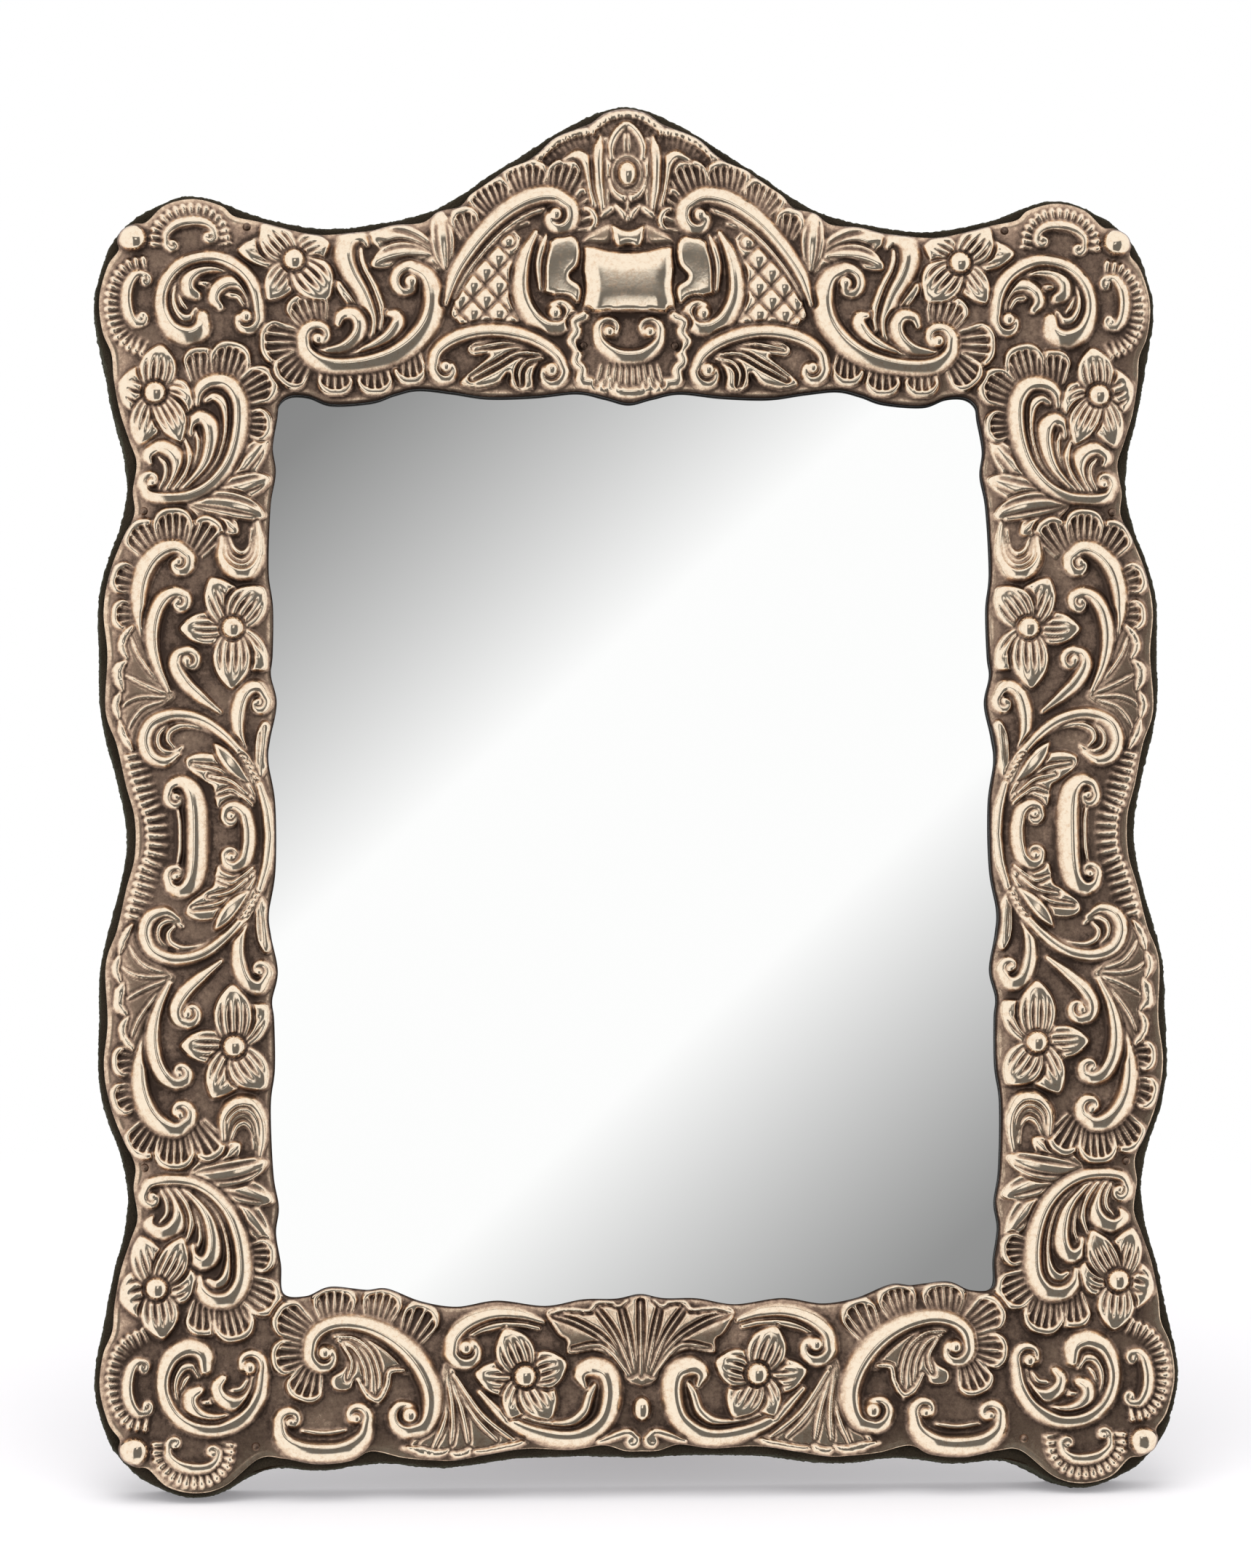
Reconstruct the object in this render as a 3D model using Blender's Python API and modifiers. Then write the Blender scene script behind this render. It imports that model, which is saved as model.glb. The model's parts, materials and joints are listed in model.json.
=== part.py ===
"""Easel-back dressing mirror: a pressed silver front with scrolls and flowers on a velvet-covered board.

The mirror faces -Y and leans back on a hinged strut. Units are metres, +Z is up, and the origin is at the
bottom centre of the object's box. The ornament is drawn in a drawing of its own, in drawing units.
"""

import math

import bmesh
import bpy
import numpy as np
from mathutils import Matrix, Vector

# Driving dimensions of the front, in metres
FRAME_WIDTH = 0.226
FRAME_HEIGHT = 0.2976
LEAN = math.radians(13)
RELIEF_DEPTH = 0.0042
SILVER_RIM = 0.0008
CLEARANCE = 0.0003

# Board, glass and back
BOARD_LIP = 0.0026
GLASS_THICKNESS = 0.003
CARD_THICKNESS = 0.0008
PANEL_THICKNESS = 0.003
VELVET_THICKNESS = 0.001
VELVET_RIM = 0.0014
VELVET_MARGIN = 0.0021
SIGHT_REVEAL = 0.0010
GLASS_LAP = 0.0034
PANEL_LAP = 0.0027
OPENING_CORNER = 0.003
FOOT_FLAT = 0.0008

# Strut and its hinge
STRUT_OPEN = math.radians(24)
STRUT_THICKNESS = 0.003
STRUT_TOP_WIDTH = 0.046
STRUT_WAIST_WIDTH = 0.042
STRUT_FOOT_WIDTH = 0.068
STRUT_ARCH_WIDTH = 0.036
STRUT_ARCH_HEIGHT = 0.014
STRUT_STOP = 0.006
HINGE_HEIGHT = 0.178
HINGE_WIDTH = 0.030
HINGE_LEAF = 0.013
HINGE_SHEET = 0.0008
HINGE_KNUCKLES = 5
KNUCKLE_RADIUS = 0.0016
HINGE_PIN_RADIUS = 0.0007
HINGE_PIN_PLAY = 0.00015
HINGE_SCREW_SPACING = 0.018

# Fasteners
SCREW_HEAD_RADIUS = 0.0017
SCREW_SHANK_RADIUS = 0.0008
SCREW_HEAD_DEPTH = 0.0007
PANEL_SCREW_LENGTH = 0.0042
STRUT_SCREW_LENGTH = 0.0032
BUTTON_LENGTH = 0.016
BUTTON_WIDTH = 0.007
BUTTON_THICKNESS = 0.0012
BUTTON_REACH = 0.0045
BUTTON_SPREAD = 0.104
BUTTON_MIDDLE = 0.139
BUTTON_SCREW_LENGTH = 0.0085
BUTTON_SCREW_DOME = 0.0008
PIN_HEAD_RADIUS = 0.0009
PIN_SHANK_RADIUS = 0.0004
PIN_LENGTH = 0.006

# Counts, and the shares of a half edge's points that lie along the top and the bottom
OUTLINE_POINTS = 64
TOP_SHARE = 0.27
BOTTOM_SHARE = 0.23
RELIEF_COLUMNS = 420
RELIEF_ROWS = 46
RELIEF_FACETS = 7000
ROUND_SIDES = 12

# The drawing: its size, its own mirror line for the sides and corners, and its grid
DRAWN_WIDTH = 226.0
DRAWN_HEIGHT = 297.6
DRAWN_RELIEF = 4.2
MIRROR_LINE = 140.0
DRAWN_STEP = 0.4
DOME_RUN = 9.0
DOME_RISE = 1.1

# Outline of the silver, left half, from the crest to the middle of the side
CREST_EDGE = [(0, 297.6), (-4.5, 296.6), (-7.6, 294.4), (-11, 293), (-15.5, 291), (-19, 287.8), (-22, 285.7),
              (-26, 284), (-29.5, 281.4), (-33.5, 278.6), (-36, 276), (-40.5, 274.8), (-44, 272.4)]
TOP_EDGE = [(-50, 271.8), (-56, 270.4), (-66, 269.6), (-73, 270.8), (-79, 272.4), (-84.3, 273.6)]
CORNER_EDGE = [(-87, 275.8), (-93, 277.3), (-99, 275.9), (-103, 272.2), (-105.6, 271.8), (-108.3, 270.3)]
BEAD_EDGE = [(-109.2, 268)]
LOBE_EDGE = [(-108.9, 266), (-111.2, 262.6), (-113, 255.5), (-112.3, 248.5), (-110.4, 243.6)]
SIDE_EDGE = [(-109.9, 238), (-108.6, 231), (-106.6, 224.8), (-105.1, 220), (-105.9, 214), (-105.6, 209),
             (-108.2, 203.4), (-110.9, 196), (-112.1, 188), (-111.3, 179), (-111.7, 167), (-109.3, 159.5),
             (-107.4, 151), (-105.6, 144)]
BOTTOM_EDGE = [(-80, 9.7), (-75, 9.7), (-68, 8.4), (-61, 9), (-56.5, 11), (-50, 9.6), (-44, 9), (-39, 8.9),
               (-33, 9.9), (-24, 11.2), (-15, 10.8), (-8, 11.7), (-3.5, 10.5), (0, 10.4)]

# Sight edge of the silver, left half
SIGHT_TOP = [(0, 233.3), (-5, 234.5), (-11, 235.7), (-20, 234.8), (-30, 234.5), (-38, 235.6), (-45, 236.3),
             (-50, 235.2), (-55, 233.5), (-63.5, 232.9), (-68.5, 234.6), (-72.4, 234.7)]
SIGHT_CORNER = [(-74.7, 233)]
SIGHT_LOW_CORNER = [(-74.7, 44)]
SIGHT_SIDE = [(-75.2, 230), (-76.2, 223.5), (-75.6, 218), (-76.7, 211), (-77.2, 197), (-76.3, 189),
              (-76.4, 179), (-76.8, 174.5), (-75.6, 168.5), (-77, 161), (-77.4, 156), (-76, 147)]
SIGHT_BOTTOM = [(-70, 43.4), (-65, 45.3), (-57.5, 44.6), (-53, 44.8), (-46, 42.1), (-38.5, 40.9), (-30, 42.1),
                (-20, 40.9), (-12, 42.2), (-5, 42.3), (0, 43.2)]

# Where the pins go through plain ground, left half
PIN_PLACES = [(-81.6, 271.2), (-103.6, 209.6), (-103.6, 70.4), (-80.6, 12.2), (-9.8, 245.5)]


# Curves of the drawing

def flipped(points):
    """The same points on the other side of the drawing's mirror line."""
    return [(x, 2 * MIRROR_LINE - z) for x, z in points]


def smooth(points, before, after, per_span=10):
    """A curve through points, with its end tangents set by one point before and one after."""
    knots = np.array([before, *points, after], float)
    spans = []
    for a, b, c, d in zip(knots, knots[1:], knots[2:], knots[3:]):
        t = np.linspace(0, 1, per_span, endpoint=False)[:, None]
        spans.append(b + 0.5 * t * (c - a + t * (2 * a - 5 * b + 4 * c - d + t * (3 * b - a - 3 * c + d))))
    return np.vstack([*spans, knots[-2:-1]])


def evenly(curve, count):
    """count points spaced evenly along a curve, its ends included."""
    length = np.concatenate([[0], np.cumsum(np.hypot(*np.diff(curve, axis=0).T))])
    at = np.linspace(0, length[-1], count)
    return np.column_stack([np.interp(at, length, curve[:, 0]), np.interp(at, length, curve[:, 1])])


def half_edge(sections, corners, counts):
    """One half of a closed edge from top to bottom, sampled evenly between its two corner points."""
    points = [point for section in sections for point in section]
    mirrored = [(-x, z) for x, z in (points[1], points[-2])]
    curve = smooth(points, *mirrored)
    per_span = (len(curve) - 1) // (len(points) - 1)
    cuts = [0, *(points.index(corner) * per_span for corner in corners), len(curve) - 1]
    runs = [evenly(curve[a:b + 1], n + 1) for a, b, n in zip(cuts, cuts[1:], counts)]
    return np.vstack([runs[0], runs[1][1:], runs[2][1:]])


def section_counts(total):
    """How many spans of a half edge lie along the top, the side and the bottom."""
    top = round(total * TOP_SHARE)
    bottom = round(total * BOTTOM_SHARE)
    return top, total - top - bottom, bottom


def outer_half(total):
    corner = BEAD_EDGE[0]
    low = flipped(BEAD_EDGE)[0]
    upper = [CREST_EDGE, TOP_EDGE, CORNER_EDGE, BEAD_EDGE, LOBE_EDGE, SIDE_EDGE]
    lower = [flipped(section)[::-1] for section in (SIDE_EDGE, LOBE_EDGE, BEAD_EDGE, CORNER_EDGE)]
    return half_edge([*upper, *lower, BOTTOM_EDGE], (corner, low), section_counts(total))


def sight_half(total):
    lower = flipped(SIGHT_SIDE)[::-1]
    sections = [SIGHT_TOP, SIGHT_CORNER, SIGHT_SIDE, lower, SIGHT_LOW_CORNER, SIGHT_BOTTOM]
    return half_edge(sections, (SIGHT_CORNER[0], SIGHT_LOW_CORNER[0]), section_counts(total))


def whole(half):
    """A closed outline from its left half: down the left side and up the right."""
    return np.vstack([half, (half * (-1, 1))[-2:0:-1]])


def to_size(points):
    """Drawing units to metres on the plate."""
    return np.asarray(points, float) * (FRAME_WIDTH / DRAWN_WIDTH, FRAME_HEIGHT / DRAWN_HEIGHT)


def normals(outline):
    """Unit vectors that point out of a closed outline that runs counter-clockwise."""
    along = np.roll(outline, -1, axis=0) - np.roll(outline, 1, axis=0)
    along /= np.hypot(*along.T)[:, None]
    return np.column_stack([along[:, 1], -along[:, 0]])


def grown(outline, distance):
    return outline + distance * normals(outline)


def softened(outline, reach):
    """A closed outline with each point averaged over its neighbours, so that small notches fill."""
    shifts = range(-reach, reach + 1)
    return sum(np.roll(outline, shift, axis=0) for shift in shifts) / len(shifts)


def rectangle(half_width, low, high, corner, steps=4):
    """A counter-clockwise rectangle with round corners."""
    centres = [(half_width - corner, high - corner, 0), (corner - half_width, high - corner, 1),
               (corner - half_width, low + corner, 2), (half_width - corner, low + corner, 3)]
    turns = [i / steps for i in range(steps + 1)]
    return np.array([(x + corner * math.cos((quarter + turn) * math.pi / 2),
                      z + corner * math.sin((quarter + turn) * math.pi / 2))
                     for x, z, quarter in centres for turn in turns])


# The relief

class Relief:
    """Height of the left half of the front over its drawing, pressed one motif at a time."""

    def __init__(self):
        self.xs = np.arange(-DRAWN_WIDTH / 2 - 3, 15, DRAWN_STEP)
        self.zs = np.arange(-2, DRAWN_HEIGHT + 3, DRAWN_STEP)
        self.x, self.z = np.meshgrid(self.xs, self.zs, indexing="ij")
        self.height = np.zeros_like(self.x)
        self.flip = False

    def place(self, points):
        return np.array(flipped(points) if self.flip else points, float)

    def window(self, low, high):
        """The part of the grid between two corners."""
        return (slice(*np.searchsorted(self.xs, (low[0], high[0]))),
                slice(*np.searchsorted(self.zs, (low[1], high[1]))))

    def follow(self, path, half_width, reach):
        """For the grid near a path: distance to it in half widths, and the half width there."""
        area = self.window(path.min(0) - reach, path.max(0) + reach)
        ratio = np.full(self.x.shape, np.inf)
        width = np.ones(self.x.shape)
        chunk = 12
        for start in range(0, len(path), chunk):
            near = path[start:start + chunk]
            wide = half_width[start:start + chunk]
            part = self.window(near.min(0) - reach, near.max(0) + reach)
            away = np.hypot(self.x[part][..., None] - near[:, 0], self.z[part][..., None] - near[:, 1])
            pick = np.argmin(away / wide, axis=-1)[..., None]
            found = np.take_along_axis(away / wide, pick, -1)[..., 0]
            closer = found < ratio[part]
            ratio[part] = np.where(closer, found, ratio[part])
            width[part] = np.where(closer, wide[pick[..., 0]], width[part])
        return area, ratio[area], width[area]

    def press(self, area, ratio, width, shape, moat=1.1):
        """Sets the shape inside a motif and presses the ground down round it."""
        old = self.height[area]
        beside = np.minimum(old, (ratio - 1) * width * 0.9)
        old = np.where((ratio >= 1) & ((ratio - 1) * width < moat), beside, old)
        self.height[area] = np.where(ratio < 1, shape, old)

    def stroke(self, path, half_width, rise):
        """A rounded ridge along a path."""
        area, ratio, width = self.follow(path, half_width, half_width.max() + 1.2)
        dome = np.sqrt(np.clip(1 - ratio ** 2, 0, 1))
        self.press(area, ratio, width, 0.15 + rise * np.minimum(width, 1.7) * dome)

    def scroll(self, points, widths, start_eye=None, end_eye=None, rise=1.25):
        """A ridge through points that tapers between three half widths and curls round its eyes."""
        points = self.place(points)
        body = smooth(points, 2 * points[0] - points[1], 2 * points[-1] - points[-2])
        head = tail = np.empty((0, 2))
        if start_eye:
            head = volute(body[::-1], self.place([start_eye])[0])[::-1]
        if end_eye:
            tail = volute(body, self.place([end_eye])[0])
        path = np.vstack([head, body, tail])
        spots = [0, len(head), len(head) + len(body) // 2, len(head) + len(body), len(path)]
        sizes = [widths[0] * (0.5 if start_eye else 1), *widths, widths[2] * (0.5 if end_eye else 1)]
        half_width = np.interp(np.arange(len(path)), spots, sizes)
        self.stroke(path, half_width, rise)
        for eye, end in ((start_eye, body[0]), (end_eye, body[-1])):
            if eye:
                centre = self.place([eye])[0]
                self.dome(centre, *(0.4 * np.hypot(*(end - centre)),) * 2, 1.3)

    def dome(self, centre, across, up, rise):
        """A bead at a placed centre."""
        reach = max(across, up) + 1.3
        area = self.window(centre - reach, centre + reach)
        ratio = np.hypot((self.x[area] - centre[0]) / across, (self.z[area] - centre[1]) / up)
        shape = 0.2 + rise * np.sqrt(np.clip(1 - ratio ** 2, 0, 1))
        self.press(area, ratio, np.full_like(ratio, min(across, up)), shape)

    def bead(self, centre, across, up, rise):
        self.dome(self.place([centre])[0], across, up, rise)

    def leaf(self, base, tip, width, pointed=0.0, rise=1.3):
        """A dished leaf, petal or flute from base to tip, round or pointed, with a raised rim."""
        base, tip = self.place([base, tip])
        axis = tip - base
        length = np.hypot(*axis)
        axis /= length
        area = self.window(np.minimum(base, tip) - width, np.maximum(base, tip) + width)
        x, z = self.x[area] - base[0], self.z[area] - base[1]
        u = np.clip((x * axis[0] + z * axis[1]) / length, 1e-4, 1 - 1e-4)
        over = np.abs((x * axis[0] + z * axis[1]) / length - u) * length
        v = np.abs(z * axis[0] - x * axis[1])
        round_half = np.sqrt(u ** 0.8 * (1 - u ** 5)) * 1.07
        point_half = u ** 0.5 * (1 - u) ** 0.75 * 2.05
        half = np.maximum(width / 2 * (round_half + (point_half - round_half) * pointed), 0.05)
        ratio = np.where(over > 0.01, 99, v / half)
        rim = np.clip(0.55 + 0.5 * ratio ** 2, 0, 1) * np.clip((1 - ratio) * 6, 0, 1)
        self.press(area, ratio, half, 0.15 + rise * rim * np.clip(u * 3, 0.35, 1), moat=0.8)

    def flower(self, centre, tips, width, heart=2.5):
        """Petals with their tips where they are drawn, round a ball."""
        for tip in tips:
            self.leaf(centre, tip, width, pointed=0.75, rise=1.5)
        self.bead(centre, heart, heart, 2.4)

    def pillow(self, low, high, rise):
        """A domed rectangle with soft corners."""
        low, high = self.place([low, high])
        area = self.window(low - 1.5, high + 1.5)
        middle, half = (low + high) / 2, (high - low) / 2
        a = np.abs(self.x[area] - middle[0]) / half[0]
        b = np.abs(self.z[area] - middle[1]) / half[1]
        ratio = (a ** 5 + b ** 5) ** 0.2
        shape = 0.3 + rise * np.clip(1 - ratio ** 3, 0, 1) ** 0.5
        self.press(area, ratio, np.full_like(ratio, min(half)), shape)

    def band(self, points, half_width, rise=0.9):
        """A plain raised rope, where the lobes are gadrooned."""
        points = self.place(points)
        path = smooth(points, 2 * points[0] - points[1], 2 * points[-1] - points[-2])
        self.stroke(path, np.full(len(path), half_width), rise)

    def edge_dome(self, edges):
        """Raises everything on a low dome that runs out at the edges."""
        distance = np.full(self.x.shape, DOME_RUN)
        for edge in edges:
            near = np.ones(len(edge))
            area, ratio, _ = self.follow(edge, near, DOME_RUN)
            distance[area] = np.minimum(distance[area], ratio)
        share = distance / DOME_RUN
        self.height = self.height * np.clip(share * 6, 0, 1) + DOME_RISE * share * (2 - share)

    def at(self, x, z):
        """Height at points of the drawing, left or right."""
        column = (-np.abs(x) - self.xs[0]) / DRAWN_STEP
        row = (z - self.zs[0]) / DRAWN_STEP
        i = np.clip(column.astype(int), 0, len(self.xs) - 2)
        j = np.clip(row.astype(int), 0, len(self.zs) - 2)
        a, b = column - i, row - j
        h = self.height
        return ((1 - a) * (1 - b) * h[i, j] + a * (1 - b) * h[i + 1, j]
                + (1 - a) * b * h[i, j + 1] + a * b * h[i + 1, j + 1])


def volute(path, eye, turns=1.1, inner=0.24, steps=26):
    """Points that wind on from the end of a path round an eye, drawing in."""
    arm = path[-1] - eye
    heading = path[-1] - path[-2]
    sense = np.sign(arm[0] * heading[1] - arm[1] * heading[0])
    part = np.linspace(0, 1, steps + 1)[1:]
    angle = math.atan2(arm[1], arm[0]) + sense * math.tau * turns * part
    radius = np.hypot(*arm) * (1 - (1 - inner) * part)
    return eye + radius[:, None] * np.column_stack([np.cos(angle), np.sin(angle)])


def draw_corner(relief):
    """Two gadrooned lobes with a C-scroll in each, a bead between them, and the large hooked volute."""
    relief.band([(-101.2, 266.5), (-101, 270), (-98.5, 273.2), (-94, 274.8), (-90, 274.4), (-87, 272.2),
                 (-85.2, 269.3)], 1.5)
    relief.band([(-103.5, 264.6), (-108, 263), (-110.7, 259.5), (-111.2, 254.5), (-110.3, 250), (-107.7, 246),
                 (-104.5, 244.5)], 1.5)
    relief.bead((-105.8, 268.7), 3, 2.8, 2.2)
    relief.scroll([(-99.3, 267.8), (-98.2, 270.4), (-94.8, 272.2), (-91, 271.9), (-88.3, 269.8)],
                  (0.9, 1.1, 0.9), (-97, 267.2), (-90.2, 268.9))
    relief.scroll([(-104.2, 261.2), (-106.6, 259.2), (-107.8, 255.2), (-107.2, 251.6), (-105, 249.2)],
                  (0.9, 1.2, 0.9), (-103.5, 259.3), (-104.2, 251))
    relief.scroll([(-80.8, 252.6), (-81.8, 256), (-84.6, 258.6), (-88, 257.8), (-88.6, 255), (-86.8, 253.6)],
                  (0.6, 1, 1.1))
    relief.scroll([(-81.4, 256.6), (-84.6, 260.4), (-89.4, 262), (-93.4, 260.6), (-94.3, 257.6),
                   (-92.4, 255.8)], (0.6, 0.9, 1.3))
    relief.scroll([(-95.6, 260.6), (-97.6, 257.6), (-98, 253.8), (-96.2, 251), (-93.8, 251.2),
                   (-92.4, 253.4)], (0.4, 0.9, 0.7))
    relief.scroll([(-91.8, 252.2), (-90.6, 249), (-94, 246.7), (-98.4, 248.6), (-99.8, 254), (-97.6, 260),
                   (-92.4, 263.9), (-86, 263.6), (-80.8, 259.6), (-78.6, 254), (-79.2, 249.5)],
                  (1.5, 1.2, 1.2), None, (-82.4, 250.6))


def draw_side(relief):
    """From the corner flower to the middle of the side: plume, fans, flutes, twin scrolls and a flower."""
    for base, tip, width in (((-90.5, 237.5), (-92, 244.8), 6.5), ((-87, 237.8), (-83.5, 245), 8.5),
                             ((-84, 235.5), (-76.4, 239), 6.5), ((-83, 231), (-76.6, 229.3), 5.5),
                             ((-97, 202), (-98, 209.6), 7), ((-93, 202), (-89.3, 207.5), 7),
                             ((-102, 202), (-105.7, 206), 7.5), ((-105.5, 195.5), (-110.2, 196.8), 7),
                             ((-106.5, 187), (-110.6, 187), 6)):
        relief.leaf(base, tip, width)
    for tip, width in (((-77.8, 224.4), 4.5), ((-77.3, 218.2), 5), ((-77.4, 212.5), 5), ((-78.6, 208), 4),
                       ((-84.6, 205), 4)):
        relief.leaf((-91.5, 211), tip, width, pointed=0.4)
    for tip, width in (((-107, 184.6), 4), ((-109.8, 174.8), 4.5), ((-109.8, 168.2), 4.5),
                       ((-107.2, 159.2), 4)):
        relief.leaf((-97.6, 170.6), tip, width, pointed=0.4)
    relief.leaf((-78.8, 154), (-78.3, 164.3), 3.4)
    for base, tip, width in (((-81.4, 151), (-88.5, 159.6), 4), ((-81.2, 149.5), (-95.2, 155), 5.5),
                             ((-81, 148.4), (-90, 147.6), 4)):
        relief.leaf(base, tip, width, pointed=0.5)

    # The plume beside the corner flower
    relief.scroll([(-99, 213.3), (-97.2, 217), (-97.2, 221), (-99, 223.6), (-101.8, 223.3), (-102.5, 221.4)],
                  (0.5, 1.2, 1.2))
    relief.scroll([(-97.5, 213.8), (-95, 217), (-94, 221), (-94.6, 224.7)], (0.4, 0.8, 0.7))
    relief.scroll([(-94.8, 214), (-90.5, 219), (-88.6, 224.5), (-89.3, 229), (-91.8, 229.8), (-92.9, 227.5)],
                  (0.5, 1.5, 1.3))
    relief.scroll([(-93.5, 213.5), (-89, 217.5), (-86, 223), (-85.7, 229), (-87.3, 233.6), (-90, 234.3)],
                  (0.5, 1, 0.9))
    relief.scroll([(-104.4, 215), (-101, 212.2), (-96, 211.8), (-91, 213.5), (-86.5, 218), (-83.8, 224),
                   (-83.2, 230), (-84.7, 235.2), (-88.5, 237.4), (-91.8, 236), (-92.4, 233)],
                  (1.2, 1.3, 1.3), (-101.7, 216.2))

    # Twin C-scrolls and the crescent
    relief.scroll([(-97, 170.5), (-101, 177), (-104, 184), (-104.8, 191), (-103, 198), (-99, 201.8),
                   (-95, 201.5), (-93.3, 198.5)], (0.6, 1.4, 1.4), None, (-96.2, 197.6))
    relief.scroll([(-97.3, 171.5), (-100.5, 178), (-101.3, 184), (-100.3, 190), (-97.5, 193.2),
                   (-94.6, 192.6), (-93.9, 190)], (0.5, 1.2, 1.2), None, (-96.3, 189.6))
    relief.scroll([(-88, 166), (-93, 170.5), (-96.6, 175), (-96.6, 178.8), (-94.5, 180.3), (-92.1, 178.5)],
                  (0.5, 1.2, 1.2), None, (-94.2, 177))
    relief.scroll([(-84.6, 203.6), (-83, 201), (-80.6, 203.4)], (0.6, 1, 0.6))
    relief.scroll([(-87, 203.4), (-86.3, 199), (-83, 197), (-79.8, 199), (-78.9, 203), (-79.6, 206.8)],
                  (0.9, 1.9, 0.9))

    # Scrolls by the sight edge and the large hook
    relief.scroll([(-81, 156), (-82.8, 162), (-83, 168), (-81.2, 171.6), (-78.8, 171.8), (-77.3, 169.5)],
                  (0.5, 1.2, 1.2), None, (-79.2, 167.4))
    relief.scroll([(-86, 161.5), (-92, 164), (-97, 163.6), (-99, 161.4), (-97.8, 159)], (0.5, 0.8, 0.7))
    relief.scroll([(-79, 150), (-82.5, 157.5), (-88, 163), (-94.5, 165.6), (-100.5, 164.6), (-103.4, 160.5),
                   (-102, 156.8), (-98.4, 156)], (1.2, 1.5, 1.8))

    relief.flower((-84.9, 184.4), [(-96, 183.4), (-89.6, 195.2), (-79.2, 194.2), (-78, 175.6), (-85.2, 171.4)],
                  8.2)
    relief.flower((-101.2, 234.9), [(-99.8, 245), (-108.2, 238), (-104.6, 224), (-96, 224.4), (-93.4, 231.8)],
                  8)


def draw_middle(relief):
    """Scrolls that cross the mirror line in the middle of the side, drawn whole."""
    relief.band([(-106, 156), (-105, 150), (-103.4, 144.5), (-102.8, 140), (-103.4, 135.5), (-105, 130),
                 (-106, 124)], 1.5)
    for points, widths, eye in (([(-79, 150), (-78, 145)], (1.2, 1.4, 1.4), None),
                                ([(-99.4, 148), (-98.6, 151), (-95.8, 152.4), (-93, 150.5), (-92, 146)],
                                 (1.2, 1.6, 1.2), (-96.9, 148)),
                                ([(-87.3, 144.4), (-86, 146.3), (-83.5, 146.4), (-81.8, 144)],
                                 (1, 1.3, 1), (-85.3, 143.8))):
        path = points + flipped(points)[::-1]
        relief.scroll(path, widths, eye, flipped([eye])[0] if eye else None)


def draw_top_rail(relief):
    """The large S-scroll with its plumes, flutes, leaf and flower."""
    for base, tip, width in (((-71.5, 247), (-78.4, 246.6), 8), ((-71, 243.5), (-75.4, 237.8), 7),
                             ((-68, 250.5), (-74.4, 255), 7), ((-64.5, 241), (-63.6, 234.8), 7.5),
                             ((-56, 241), (-54.8, 235.2), 8), ((-48.5, 243.5), (-47.4, 237.9), 7)):
        relief.leaf(base, tip, width)
    for base, tip, width in (((-40.2, 262.5), (-40.8, 274.2), 4.5), ((-40.6, 263.5), (-54, 270.8), 5),
                             ((-42.5, 264), (-55, 263.6), 4.5)):
        relief.leaf(base, tip, width, pointed=0.4)
    relief.scroll([(-52.8, 250), (-53.5, 254.5), (-55.5, 259), (-58.2, 263.5), (-58.2, 267)], (0.4, 0.6, 0.5))
    relief.scroll([(-54.5, 247.5), (-54.8, 252.5), (-57.4, 257.5), (-60.4, 262.5), (-60.4, 267),
                   (-57.6, 268.9), (-56, 267)], (0.8, 1.5, 0.9))
    relief.scroll([(-62.5, 243.3), (-56, 244), (-50.8, 247.6), (-49, 251), (-50.8, 252.4)], (0.5, 1, 1.2))
    relief.scroll([(-63.5, 244), (-60, 245.6), (-57.8, 249), (-58.8, 251.9), (-61.6, 251.8)], (0.5, 1.2, 1.2))
    relief.scroll([(-69.6, 246.2), (-67.4, 242.4), (-62, 240.8), (-55, 241.5), (-48, 244.7), (-42.8, 249.7),
                   (-41.2, 255.5), (-42.6, 260.6), (-46.4, 262.8)],
                  (1.4, 1.6, 1.5), (-66.2, 247.3), (-47.6, 259))
    relief.flower((-71.6, 263.7), [(-78.2, 271), (-82.4, 265.4), (-76, 256.6), (-65.2, 256.6), (-65.4, 268.4)],
                  7.6)


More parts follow.
